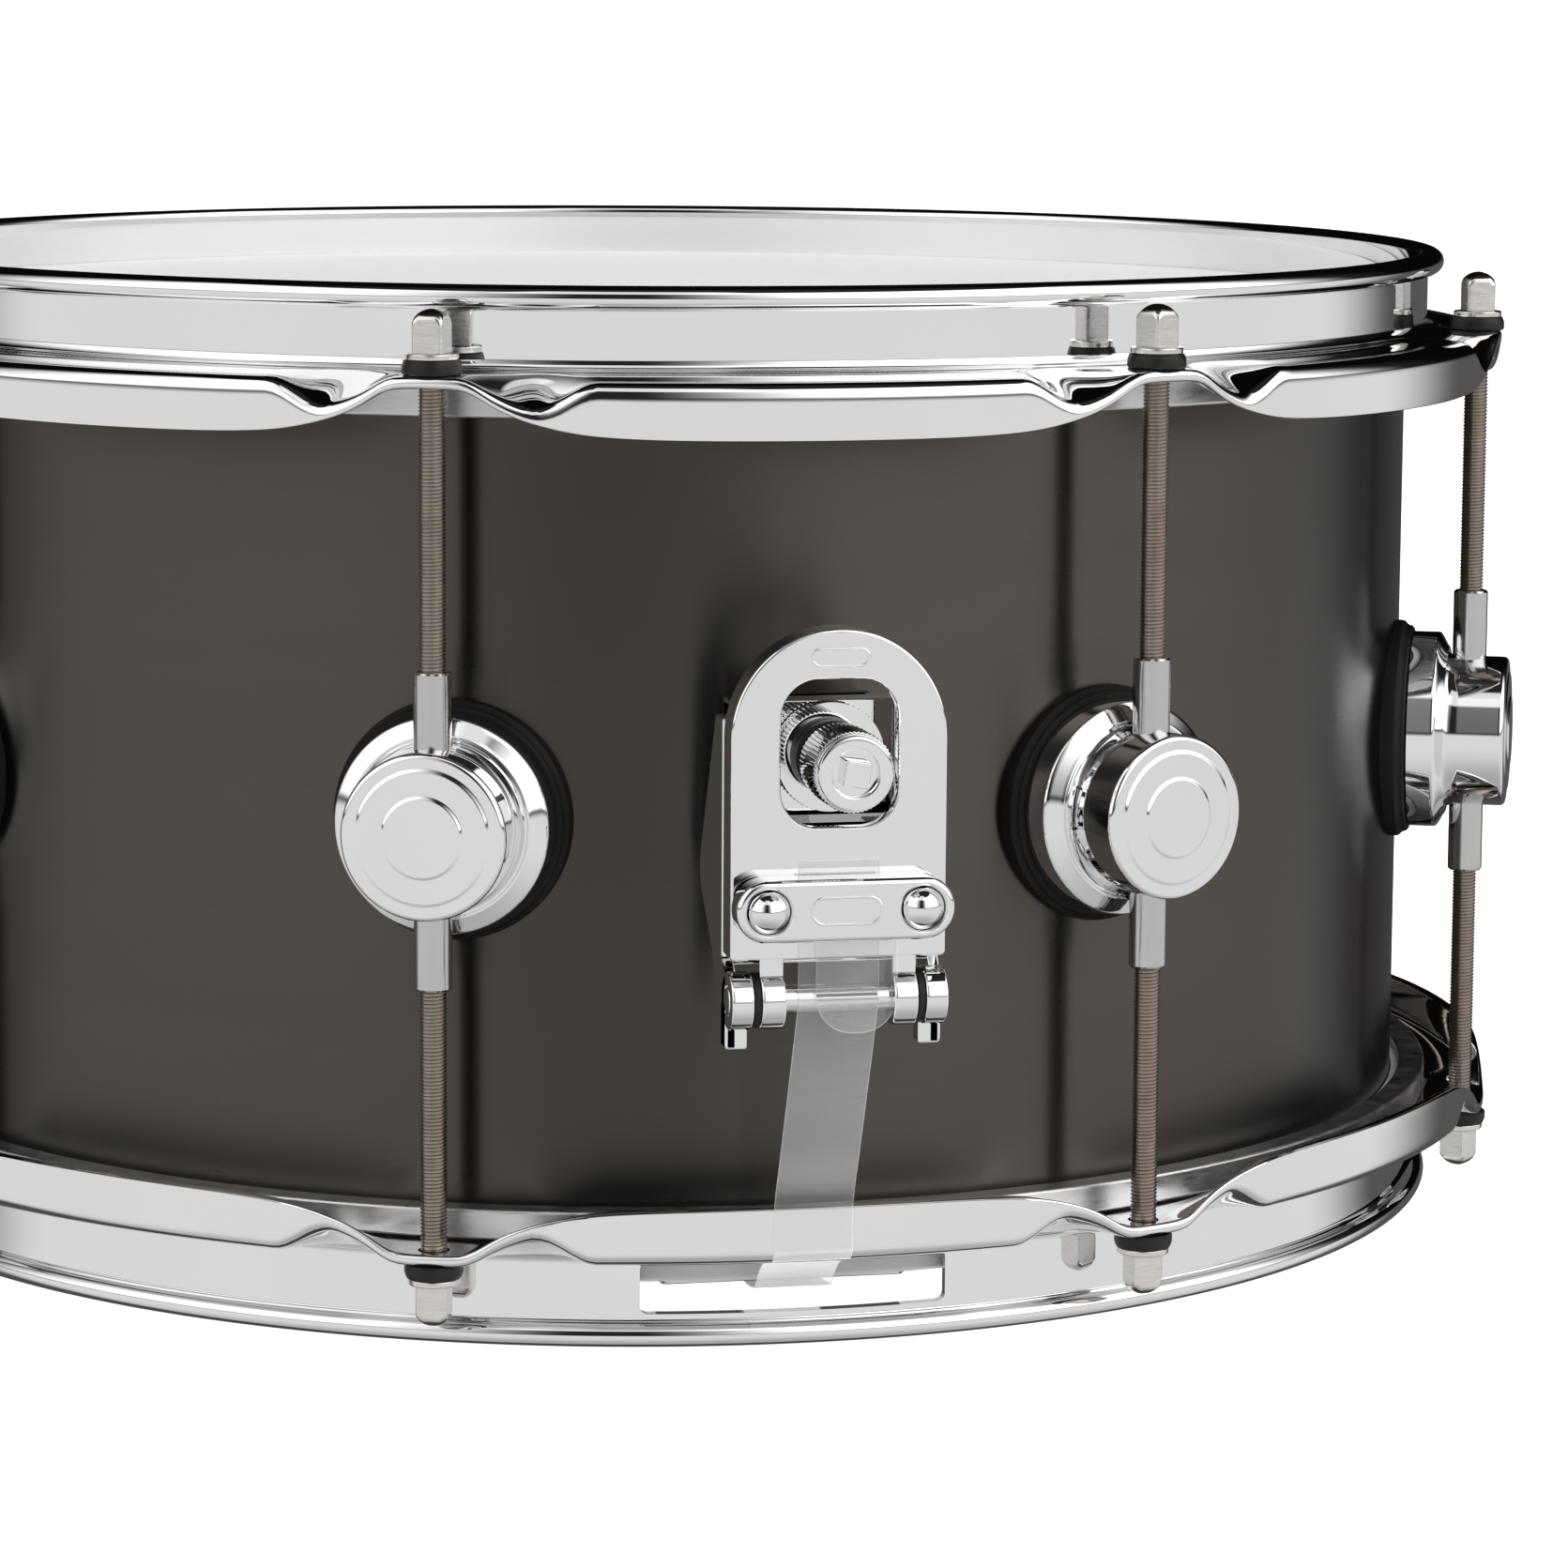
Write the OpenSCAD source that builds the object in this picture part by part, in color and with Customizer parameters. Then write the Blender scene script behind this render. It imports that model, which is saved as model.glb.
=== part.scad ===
// Snare drum: metal shell, turret lugs, flanged hoops, two heads, snare wires
// and a lever throw-off. Millimetres. Origin on the drum's axis at the lower rim,
// +Z up, throw-off on -Y, butt plate on +Y.

/* [Shell] */
// Nominal shell diameter
shell_d = 330.2; // [325:0.1:335]
// Shell depth between the bearing edges
shell_depth = 177.8; // [170:0.1:190]
// Shell wall thickness
shell_wall = 1.5; // [1.2:0.1:2]
// Height from rim to rim
drum_h = 200.8; // [198:0.1:206]

/* [Hoops] */
// Sheet thickness of the hoops
hoop_t = 2.4; // [2:0.1:2.6]
// Outer radius of the hoop's upright wall
hoop_wall_r = 169.6; // [169.4:0.1:170]
// Outer radius of the rolled rim
rim_r = 172.9; // [172.5:0.1:173.4]
// Height of the rolled rim
rim_h = 4.6; // [4:0.1:5]
// Distance from the rim to the ears on the batter hoop
top_rise = 16; // [15.5:0.1:16.5]
// Distance from the rim to the ears on the snare hoop
bottom_rise = 17.8; // [17.3:0.1:18.2]
// Width of a snare gate in the lower hoop
gate_w = 56; // [46:1:60]

/* [Lugs and rods] */
// Number of lugs
lug_n = 8; // [8]
// Radius of the circle of tension rods
rod_circle_r = 180.5; // [180.3:0.1:180.8]
// Tension rod diameter
rod_d = 4.8; // [4.5:0.1:5]
// Turret diameter
turret_d = 31.6; // [30:0.2:32]
// Distance of the lug's front face from the drum's axis
lug_face_r = 189.6; // [189:0.1:190.5]
// Outer diameter of the tube lugs' sleeves
sleeve_d = 7.2; // [7:0.1:7.6]
// Half of the distance between the sleeves' outer ends
sleeve_reach = 30; // [28:0.5:32]

/* [Throw-off] */
// Lever plate width
lever_w = 40.2; // [39.8:0.1:40.6]
// Lever front face, from the drum's axis
lever_face_r = 204; // [203.8:0.1:204.2]
// Top of the lever
lever_top_z = 140.9; // [140:0.1:142]
// Bottom edge of the lever plate
lever_low_z = 80.3; // [80.2:0.1:81]
// Clear snare strap width
strap_w = 15; // [14:0.5:16]
// Snare strap thickness
strap_t = 0.4; // [0.3:0.05:0.4]

/* [Snares] */
// Number of snare wires
wire_n = 20; // [12:2:20]
// Wire coil outer diameter
wire_d = 1.2; // [1:0.1:1.4]

/* [Hidden] */
$fn = 96;
eps = 0.01;
steel = "gainsboro";
chrome = "silver";
gunmetal = "dimgray";

shell_r = shell_d / 2;
mid_z = drum_h / 2;
lug_z = mid_z - 0.6;
edge_low_z = mid_z - shell_depth / 2;
edge_top_z = mid_z + shell_depth / 2;
lug_step = 360 / lug_n;
seat_r = shell_r + 1.2;
big_fn = 192;

// Ear and skirt outline of a hoop, as distances below the rim: the wall joint first,
// the outer face out to the free edge, then back along the inner face.
ear_out = [[168.4, 0.1], [175, 0], [181, 0], [184.6, 0.1], [185.4, 0.6], [185.5, 2.4]];
ear_in = [[184.8, 2.4], [183.6, 2.4], [182.4, 2.4], [181, 2.4], [175, 2.4], [168.4, 2.4]];
skirt_out = [[168.4, -0.6], [175, 0.2], [180, 1.1], [182.8, 2.1], [184.1, 3.9], [184.3, 11.8]];
skirt_in = [[181.9, 11.8], [181.9, 6], [181.4, 4.7], [179.4, 3.6], [174.4, 2.6], [168.4, 1.9]];
ear_half = 7.8;
ear_soft = 1.2;
skirt_run = 9.7;
ring_per_lug = 22;

// Hinge of the throw-off lever
hinge_r = 201.5;
hinge_z = 72.7;
knuckle_r = 5.4;
knuckle_in = [10.1, 14.6];
knuckle_out = [16, 20.2];
pin_d = 5.2;
pin_fit = 0.05;

// Throw-off
arch_r = lever_w / 2;
lever_depth = 7;
lever_skin = 2.4;
window_w = 21.8;
window_low_z = 104.6;
window_top_z = 131.7;
window_corner = 7;
clamp_w = 40.6;
clamp_h = 11.6;
clamp_z = 90.4;
clamp_back_r = lever_face_r + 1.2;
clamp_t = 5.8;
clamp_front_r = clamp_back_r + clamp_t;
clamp_screw_x = 14.3;
clamp_screw_d = 3.5;
clamp_head_d = 7.4;
cheek_x = [18.2, 20.2];
cheek_outline = [
  [190, 124], [196.4, 124], [196.4, 80], [200, 76], [200, 63.2], [196, 63.2],
  [195.6, 67], [187, 80], [176, 90], [175.2, 93], [175.8, 96]
];
plate_r = [190, 192.5];
plate_z = [105.9, 126.5];
plate_half_w = 10.3;
web_r = [186, 189.5];
web_z = [84, 104];
block_z = [88.5, 115.3];
rod_guide_x = 9;
rod_guide_r = 180;
guide_d = 4;
base_z = [80, 124];
base_half_w = 14;
knob_z = 116.4;
knob_r = 7.5;
knob_face_r = 217.5;
wheel_r = 10.2;

// Butt plate
butt_face_r = 186;
butt_z = 84;
butt_h = 40;

// Tension rods and washers
nylon_h = 2.7;
nylon_d = 11.2;
steel_h = 1.3;
steel_d = 10;
key_h = 8.1;
key_w = 6.2;
rod_end_gap = 6;
washer_bore = 5.2;
rod_fit = 0.08;

// Heads and their flesh hoops
film = 0.4;
collar_r = shell_r + 0.3;
flesh_r = [167, 172.5];
flesh_h = 5.8;
flesh_gap = 0.4;

// Snares
wire_pitch = 2.3;
wire_len = 292;
wire_z = edge_low_z - film - 0.4 - wire_d / 2;
plate_y = [146, 158];

module at_lugs() {
  for (k = [0 : lug_n - 1]) rotate([0, 0, (k + 0.5) * lug_step]) children();
}

module at_lug(k) {
  rotate([0, 0, (k - 0.5) * lug_step]) children();
}

// Cylinder along -Y between two distances from the drum's axis
module radial(r1, r2, d, z = 0) {
  translate([0, -r1, z]) rotate([90, 0, 0]) cylinder(d = d, h = r2 - r1);
}

module radial_cone(r1, r2, d1, d2, z = 0) {
  translate([0, -r1, z]) rotate([90, 0, 0]) cylinder(d1 = d1, d2 = d2, h = r2 - r1);
}

// Box given by its x range, distance range from the axis and z range
module block(x, r, z) {
  translate([x[0], -r[1], z[0]]) cube([x[1] - x[0], r[1] - r[0], z[1] - z[0]]);
}

// Rectangle with round corners, centred
module round_rect(w, h, r) {
  square([w - 2 * r, h], center = true);
  square([w, h - 2 * r], center = true);
  for (sx = [-1, 1], sy = [-1, 1])
    translate([sx * (w / 2 - r), sy * (h / 2 - r)]) circle(r);
}

// Plate in the X-Z plane between two distances from the axis
module front_plate(r1, r2) {
  translate([0, -r1, 0]) rotate([90, 0, 0]) linear_extrude(r2 - r1) children();
}

// Side outline given as [distance from the axis, z], extruded along X
module side_plate(x1, x2, outline) {
  translate([x1, 0, 0]) rotate([90, 0, 90]) linear_extrude(x2 - x1)
    polygon([for (p = outline) [-p[0], p[1]]]);
}

module both_sides() {
  children();
  mirror([1, 0, 0]) children();
}

module ring(r1, r2, h) {
  difference() {
    cylinder(r = r2, h = h, $fn = big_fn);
    translate([0, 0, -1]) cylinder(r = r1, h = h + 2, $fn = big_fn);
  }
}

// ---- Shell ----

module shell() {
  lip = 5;
  color(gunmetal) difference() {
    rotate_extrude($fn = big_fn) polygon([
      [shell_r, edge_low_z + 1], [shell_r, edge_top_z - 1], [shell_r - 1, edge_top_z],
      [shell_r - lip, edge_top_z - lip + 1], [shell_r - lip, edge_top_z - lip - 1],
      [shell_r - shell_wall, edge_top_z - 3 - shell_wall],
      [shell_r - shell_wall, edge_low_z + 3 + shell_wall],
      [shell_r - lip, edge_low_z + lip + 1], [shell_r - lip, edge_low_z + lip - 1],
      [shell_r - 1, edge_low_z]
    ]);
    at_lugs() radial(shell_r - 6, shell_r + 3, 5.6, lug_z);
    rotate([0, 0, -3 * lug_step]) radial(shell_r - 6, shell_r + 3, 12.4, mid_z);
    for (z = strainer_screw_z) radial(shell_r - 6, shell_r + 3, 5.2, z);
    rotate([0, 0, 180]) for (z = butt_screw_z) radial(shell_r - 6, shell_r + 3, 5.2, z);
  }
}

module vent_grommet() {
  color("silver") rotate([0, 0, -3 * lug_step]) difference() {
    union() {
      radial(shell_r - 4, shell_r + 1, 12, mid_z);
      difference() {
        radial(shell_r - 1, shell_r + 2.4, 18, mid_z);
        cylinder(r = shell_r, h = drum_h, $fn = big_fn);
      }
    }
    radial(shell_r - 6, shell_r + 4, 8, mid_z);
  }
}

// ---- Heads ----

// Film with a collar that folds over the bearing edge; z is up from the shell
module drum_head(collar_h) {
  rotate_extrude($fn = big_fn) polygon([
    [0, 0], [collar_r, 0], [collar_r, -collar_h], [flesh_r[0], -collar_h],
    [flesh_r[0], film - collar_h], [collar_r + film, film - collar_h],
    [collar_r + film, film], [0, film]
  ]);
}

batter_flesh_z = drum_h - top_rise - hoop_t - flesh_gap - flesh_h;
snare_flesh_z = bottom_rise + hoop_t + flesh_gap;

module batter_head() {
  color("white") translate([0, 0, edge_top_z])
    drum_head(edge_top_z - batter_flesh_z - 2);
}

module batter_flesh_hoop() {
  color(steel) translate([0, 0, batter_flesh_z]) ring(flesh_r[0], flesh_r[1], flesh_h);
}

module snare_head() {
  color("whitesmoke") translate([0, 0, edge_low_z]) mirror([0, 0, 1])
    drum_head(snare_flesh_z + flesh_h - 2 - edge_low_z);
}

module snare_flesh_hoop() {
  color(steel) translate([0, 0, snare_flesh_z]) ring(flesh_r[0], flesh_r[1], flesh_h);
}

// ---- Hoops ----

// 0 on an ear, near 1 on the skirt between two ears, at angle a from -Y
function skirt_share(a) =
  let (near = abs(a - lug_step * floor(a / lug_step) - lug_step / 2),
       arc = near * PI / 180 * rod_circle_r)
  1 - exp(-ear_soft * ln(1 + exp((arc - ear_half) / ear_soft)) / skirt_run);

function hoop_section(w) =
  let (ear = concat(ear_out, ear_in), skirt = concat(skirt_out, skirt_in))
  [for (i = [0 : len(ear) - 1]) ear[i] * (1 - w) + skirt[i] * w];

// Flange, ears and skirt as one ring; z runs down from the rim at 0
module flange_ring(rise) {
  rings = lug_n * ring_per_lug;
  side = len(ear_out) + len(ear_in);
  points = [
    for (k = [0 : rings - 1])
      let (a = 360 * k / rings, section = hoop_section(skirt_share(a)))
      for (p = section) [p[0] * sin(a), -p[0] * cos(a), -rise - p[1]]
  ];
  faces = [
    for (k = [0 : rings - 1], i = [0 : side - 1])
      let (k2 = (k + 1) % rings, i2 = (i + 1) % side)
      for (f = [[k * side + i, k2 * side + i, k2 * side + i2],
                [k * side + i, k2 * side + i2, k * side + i2]]) f
  ];
  polyhedron(points = points, faces = faces, convexity = 6);
}

// Rolled rim and upright wall; the rim's land at 0 is flat
module rim_and_wall(rise) {
  wall_in = hoop_wall_r - hoop_t;
  soft = 1.4;
  rotate_extrude($fn = big_fn) {
    polygon([
      [wall_in, -rise - 1.9], [hoop_wall_r, -rise - 1.9], [hoop_wall_r, -rim_h + 0.6],
      [hoop_wall_r, -rim_h / 2], [wall_in, -rim_h / 2]
    ]);
    translate([wall_in + soft, -rim_h]) square([rim_r - wall_in - 2 * soft, rim_h]);
    translate([wall_in, -rim_h + soft]) square([rim_r - wall_in, rim_h - 2 * soft]);
    for (r = [wall_in + soft, rim_r - soft], z = [-soft, soft - rim_h])
      translate([r, z]) circle(soft, $fn = 32);
  }
}

module hoop(rise) {
  difference() {
    union() {
      rim_and_wall(rise);
      flange_ring(rise);
    }
    at_lugs() translate([0, -rod_circle_r, -rise - 6]) cylinder(d = 6, h = 12);
  }
}

module top_hoop() {
  color(chrome) translate([0, 0, drum_h]) hoop(top_rise);
}

module bottom_hoop() {
  gate_low = 6.2;
  gate_top = 16;
  color(chrome) difference() {
    mirror([0, 0, 1]) hoop(bottom_rise);
    translate([0, 200, (gate_low + gate_top) / 2]) rotate([90, 0, 0])
      linear_extrude(400) round_rect(gate_w, gate_top - gate_low, 2);
  }
}

// ---- Tension rods and washers ----

top_ear_z = drum_h - top_rise;
bottom_ear_z = bottom_rise;

module washer_set(d, h, z) {
  at_lugs() translate([0, -rod_circle_r, z]) difference() {
    cylinder(d = d, h = h);
    translate([0, 0, -1]) cylinder(d = washer_bore, h = h + 2);
  }
}

module top_nylon_washers() {
  color("black") washer_set(nylon_d, nylon_h, top_ear_z);
}

module top_steel_washers() {
  color(steel) washer_set(steel_d, steel_h, top_ear_z + nylon_h);
}

module bottom_nylon_washers() {
  color("black") washer_set(nylon_d, nylon_h, bottom_ear_z - nylon_h);
}

module bottom_steel_washers() {
  color(steel) washer_set(steel_d, steel_h, bottom_ear_z - nylon_h - steel_h);
}

// Rod with its square domed key head; the head's seat is at 0, the shaft hangs down
module rod(length) {
  seat_gap = 0.05;
  color("rosybrown") {
    translate([0, 0, -length]) cylinder(d = rod_d, h = length + 1);
    translate([0, 0, seat_gap]) intersection() {
      translate([-key_w / 2, -key_w / 2, 0]) cube([key_w, key_w, key_h]);
      translate([0, 0, key_h - 5]) sphere(5);
      cylinder(d = 8, h = key_h);
    }
    translate([0, 0, seat_gap]) intersection() {
      translate([-key_w / 2, -key_w / 2, 0]) cube([key_w, key_w, key_h - 5]);
      cylinder(d = 8, h = key_h);
    }
  }
}

module top_rod(k) {
  seat = top_ear_z + nylon_h + steel_h;
  at_lug(k) translate([0, -rod_circle_r, seat]) rod(seat - mid_z - rod_end_gap);
}

module bottom_rod(k) {
  seat = bottom_ear_z - nylon_h - steel_h;
  at_lug(k) translate([0, -rod_circle_r, seat]) mirror([0, 0, 1])
    rod(mid_z - rod_end_gap - seat);
}

// ---- Lugs ----

base_r = shell_r + 3.4;
base_d = 41.4;
neck_r = base_r + 8;

module lug_gaskets() {
  bead_r = shell_r + 1.6;
  color("black") at_lugs() difference() {
    union() {
      radial(shell_r - 4, bead_r, 45.8, lug_z);
      radial(bead_r - eps, base_r, 43.8, lug_z);
    }
    cylinder(r = shell_r, h = drum_h, $fn = big_fn);
    radial(shell_r - 6, base_r + 1, 5.6, lug_z);
  }
}

module lug_housings() {
  step_r = lug_face_r - 0.4;
  ring_r = lug_face_r - 0.8;
  color(chrome) at_lugs() difference() {
    union() {
      radial(base_r, base_r + 5.6, base_d, lug_z);
      radial_cone(base_r + 5.6, base_r + 6.1, base_d, base_d - 0.8, lug_z);
      radial_cone(base_r + 6.1, neck_r, base_d - 0.8, turret_d + 3.4, lug_z);
      radial_cone(neck_r, neck_r + 1.9, turret_d + 3.4, turret_d, lug_z);
      radial(neck_r + 1.9, ring_r - 0.7, turret_d, lug_z);
      radial_cone(ring_r - 0.7, ring_r, turret_d, turret_d - 1.4, lug_z);
      radial_cone(ring_r, step_r, turret_d - 5.8, turret_d - 7, lug_z);
      radial_cone(step_r, lug_face_r, turret_d - 15.8, turret_d - 17, lug_z);
    }
    translate([0, -rod_circle_r, lug_z - 25]) cylinder(d = sleeve_d + 0.1, h = 50);
    radial(base_r - 1, base_r + 8, 5.1, lug_z);
  }
}

module lug_sleeves() {
  inner_end = 5;
  color(steel) at_lugs() translate([0, -rod_circle_r, lug_z]) {
    for (side = [0, 1]) mirror([0, 0, side]) difference() {
      translate([0, 0, inner_end]) cylinder(d = sleeve_d, h = sleeve_reach - inner_end);
      cylinder(d = rod_d + 2 * rod_fit, h = sleeve_reach + 1);
    }
  }
}

module lug_washers() {
  color(steel) at_lugs() difference() {
    radial(shell_r - shell_wall - 2, shell_r - shell_wall - 0.4, 13, lug_z);
    radial(shell_r - shell_wall - 3, shell_r, 5.2, lug_z);
  }
}

module lug_screws() {
  head_r = shell_r - shell_wall - 2;
  color(steel) at_lugs() {
    radial(head_r - 3, head_r, 9, lug_z);
    radial(head_r - eps, base_r + 7, 5, lug_z);
  }
}

// ---- Throw-off ----

strainer_screw_z = [90, 114];

module curved_pad(w, h, z) {
  intersection() {
    translate([0, 0, z - h / 2]) ring(shell_r, seat_r, h);
    block([-w / 2, w / 2], [shell_r - 5, seat_r + 2], [z - h / 2, z + h / 2]);
  }
}

module strainer_gasket() {
  color("black") difference() {
    curved_pad(2 * base_half_w, base_z[1] - base_z[0], (base_z[0] + base_z[1]) / 2);
    for (z = strainer_screw_z) radial(shell_r - 4, seat_r + 4, 5.2, z);
  }
}

module strainer_base() {
  color(chrome) difference() {
    block([-base_half_w, base_half_w], [seat_r - 3, 186], base_z);
    translate([0, 0, base_z[0] - 1]) cylinder(r = seat_r, h = 60, $fn = big_fn);
    block([-20, 20], [173, 190], [base_z[0] + 4, base_z[1] - 4]);
    for (z = strainer_screw_z) radial(seat_r - 4, 180, 4.6, z);
    both_sides() translate([rod_guide_x, -rod_guide_r, base_z[0] - 1])
      cylinder(d = guide_d, h = base_z[1] - base_z[0] + 2);
  }
}

module shell_screws(z_list) {
  head_r = shell_r - shell_wall - 0.3;
  for (z = z_list) {
    radial(head_r - 2.6, head_r, 9, z);
    radial(head_r - eps, seat_r + 6, 4.5, z);
  }
}

module strainer_screws() {
  color(steel) shell_screws(strainer_screw_z);
}

module guide_rods() {
  color(steel) both_sides() translate([rod_guide_x, -rod_guide_r, base_z[0]])
    cylinder(d = guide_d, h = base_z[1] - base_z[0]);
}

module carriage() {
  color(chrome) difference() {
    union() {
      block([-13.5, 13.5], [174, plate_r[0] + 1], block_z);
      block([-plate_half_w, plate_half_w], plate_r, plate_z);
      block([-cheek_x[0] - 1, cheek_x[0] + 1], web_r, web_z);
      both_sides() side_plate(cheek_x[0], cheek_x[1], cheek_outline);
      both_sides() translate([knuckle_out[0], -hinge_r, hinge_z]) rotate([0, 90, 0])
        cylinder(r = knuckle_r, h = knuckle_out[1] - knuckle_out[0]);
      both_sides() block(knuckle_out, [196, 200], [63.2, 72]);
    }
    translate([-25, -hinge_r, hinge_z]) rotate([0, 90, 0]) cylinder(d = pin_d, h = 50);
    both_sides() translate([rod_guide_x, -rod_guide_r, 70])
      cylinder(d = guide_d + 0.1, h = 60);
    radial(plate_r[0] - 4, plate_r[1] + 2, 5.1, knob_z);
  }
}

module hinge_pin() {
  color(steel) translate([-knuckle_out[1], -hinge_r, hinge_z]) rotate([0, 90, 0])
    cylinder(d = pin_d, h = 2 * knuckle_out[1]);
}

module hinge_washers() {
  gap = 0.1;
  color("black") both_sides() translate([knuckle_in[1] + gap, -hinge_r, hinge_z])
    rotate([0, 90, 0]) difference() {
      cylinder(d = 10.4, h = knuckle_out[0] - knuckle_in[1] - 2 * gap);
      translate([0, 0, -1]) cylinder(d = pin_d + 2 * pin_fit, h = 4);
    }
}

module lever_outline(inset) {
  low = lever_low_z + inset;
  mid = lever_top_z - arch_r;
  translate([0, mid]) circle(arch_r - inset, $fn = big_fn);
  translate([-arch_r + inset, low]) square([2 * (arch_r - inset), mid - low]);
}

module lever() {
  back_r = lever_face_r - lever_depth;
  color(chrome) difference() {
    union() {
      difference() {
        front_plate(back_r, lever_face_r) lever_outline(0);
        front_plate(back_r - 1, lever_face_r - lever_skin) lever_outline(2);
      }
      both_sides() translate([knuckle_in[0], -hinge_r, hinge_z]) rotate([0, 90, 0])
        cylinder(r = knuckle_r, h = knuckle_in[1] - knuckle_in[0]);
      both_sides() block(knuckle_in, [back_r + 1, lever_face_r], [hinge_z, lever_low_z + 2]);
    }
    front_plate(back_r - 1, lever_face_r + 1)
      translate([0, (window_low_z + window_top_z) / 2])
        round_rect(window_w, window_top_z - window_low_z, window_corner);
    translate([-25, -hinge_r, hinge_z]) rotate([0, 90, 0])
      cylinder(d = pin_d + 2 * pin_fit, h = 50);
    for (s = [-1, 1]) translate([s * clamp_screw_x, 0, 0])
      radial(back_r, lever_face_r + 1, clamp_screw_d, clamp_z);
  }
}

module clamp_outline() {
  square([clamp_w - clamp_h, clamp_h], center = true);
  for (s = [-1, 1]) translate([s * (clamp_w - clamp_h) / 2, 0]) circle(d = clamp_h);
}

// Clamp bar with its two screw holes; back is its distance from the axis
module clamp_bar(back, front, z) {
  difference() {
    front_plate(back, front) translate([0, z]) clamp_outline();
    for (s = [-1, 1]) translate([s * clamp_screw_x, 0, 0])
      radial(back - 1, front + 1, clamp_screw_d, z);
  }
}

module dome_screws(tip, seat, z) {
  for (s = [-1, 1]) translate([s * clamp_screw_x, 0, 0]) {
    radial(tip, seat + eps, clamp_screw_d, z);
    intersection() {
      radial(seat, seat + 3, clamp_head_d, z);
      translate([0, -seat + 1.35, z]) sphere(3.95);
    }
  }
}

module clamp_plate() {
  color(chrome) clamp_bar(clamp_back_r, clamp_front_r, clamp_z);
}

module clamp_screws() {
  color(chrome) dome_screws(lever_face_r - lever_skin, clamp_front_r, clamp_z);
}

module tension_knob() {
  stud_w = 4.8;
  socket_d = 8.6;
  body_back = 200;
  color(chrome) {
    difference() {
      radial(body_back, knob_face_r, 2 * knob_r, knob_z);
      radial(knob_face_r - 1.6, knob_face_r + 1, socket_d, knob_z);
    }
    block([-stud_w / 2, stud_w / 2], [knob_face_r - 1.7, knob_face_r + 1.8],
          [knob_z - stud_w / 2, knob_z + stud_w / 2]);
    radial(187.5, body_back + eps, 5, knob_z);
  }
}

module adjuster_wheel() {
  color(chrome) difference() {
    union() {
      radial(193, 196.4, 2 * wheel_r, knob_z);
      radial(196.4 - eps, 199.6, 17, knob_z);
    }
    radial(192, 200, 5, knob_z);
  }
}

// ---- Butt plate ----

butt_screw_z = [76, 94];

module butt() {
  rotate([0, 0, 180]) children();
}

module butt_gasket() {
  color("black") butt() difference() {
    curved_pad(30, butt_h, butt_z);
    for (z = butt_screw_z) radial(shell_r - 4, seat_r + 4, 5.2, z);
  }
}

module butt_plate() {
  color(chrome) butt() difference() {
    front_plate(seat_r - 2, butt_face_r) translate([0, butt_z]) round_rect(30, butt_h, 5);
    translate([0, 0, 40]) cylinder(r = seat_r, h = 90, $fn = big_fn);
    for (z = butt_screw_z) radial(seat_r - 4, seat_r + 7, 4.6, z);
  }
  color(chrome) butt() difference() {
    front_plate(butt_face_r - 4, butt_face_r) translate([0, clamp_z]) clamp_outline();
    front_plate(butt_face_r - 5, butt_face_r + 1) translate([0, butt_z])
      round_rect(30, butt_h, 5);
    for (s = [-1, 1]) translate([s * clamp_screw_x, 0, 0])
      radial(butt_face_r - 5, butt_face_r + 1, clamp_screw_d, clamp_z);
  }
}

module butt_screws() {
  color(steel) butt() shell_screws(butt_screw_z);
}

butt_clamp_back = butt_face_r + 0.6;

module butt_clamp() {
  color(chrome) butt() clamp_bar(butt_clamp_back, butt_clamp_back + clamp_t, clamp_z);
}

module butt_clamp_screws() {
  color(chrome) butt() dome_screws(butt_face_r + 0.1, butt_clamp_back + clamp_t, clamp_z);
}

// ---- Straps and snares ----

function unit(v) = v / norm(v);

// Outline of a band of thickness t along a path, one point each side of every path point
function band(path, t) =
  let (last = len(path) - 1,
       side = [for (i = [0 : last])
         let (d = unit(path[min(i + 1, last)] - path[max(i - 1, 0)]))
         [-d[1], d[0]] * t / 2])
  concat([for (i = [0 : last]) path[i] + side[i]],
         [for (i = [last : -1 : 0]) path[i] - side[i]]);

// The strap's run from the clamp, over the skirt and through the gate to the wires
strap_low = [
  [184.9, 30.5], [184.9, 22.5], [184.6, 21], [183.3, 19.4], [181, 18.6], [175, 16.9], [170.2, 13.8],
  [167.4, 10.9], [165.6, 10], [plate_y[1] + 1, 9.1], [plate_y[0] + 2, 9.1]
];

module snare_strap() {
  tail_end_z = 69.5;
  fold_z = 98.8;
  front = lever_face_r + 0.65;
  path = concat([[lever_face_r + 0.3, fold_z], [lever_face_r + 0.3, 84],
                 [lever_face_r + 0.5, hinge_z + 4], [lever_face_r + 0.8, hinge_z]], strap_low);
  color("lightcyan") {
    side_plate(-strap_w / 2, strap_w / 2, band(path, strap_t));
    front_plate(front, front + strap_t) {
      translate([-strap_w / 2, tail_end_z + 6]) square([strap_w, fold_z - tail_end_z - 6]);
      translate([0, tail_end_z + 6]) round_rect(strap_w, 12, 5.9);
    }
    block([-strap_w / 2, strap_w / 2], [lever_face_r + 0.1, front + strap_t],
          [fold_z - strap_t, fold_z]);
  }
}

module butt_strap() {
  path = concat([[butt_face_r + 0.3, 96.8], [butt_face_r + 0.3, 60]], strap_low);
  color("lightcyan") butt() side_plate(-strap_w / 2, strap_w / 2, band(path, strap_t));
}

module snare_wires() {
  color(steel) for (k = [0 : wire_n - 1])
    translate([(k - (wire_n - 1) / 2) * wire_pitch, wire_len / 2, wire_z])
      rotate([90, 0, 0]) cylinder(d = wire_d, h = wire_len, $fn = 24);
}

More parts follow.
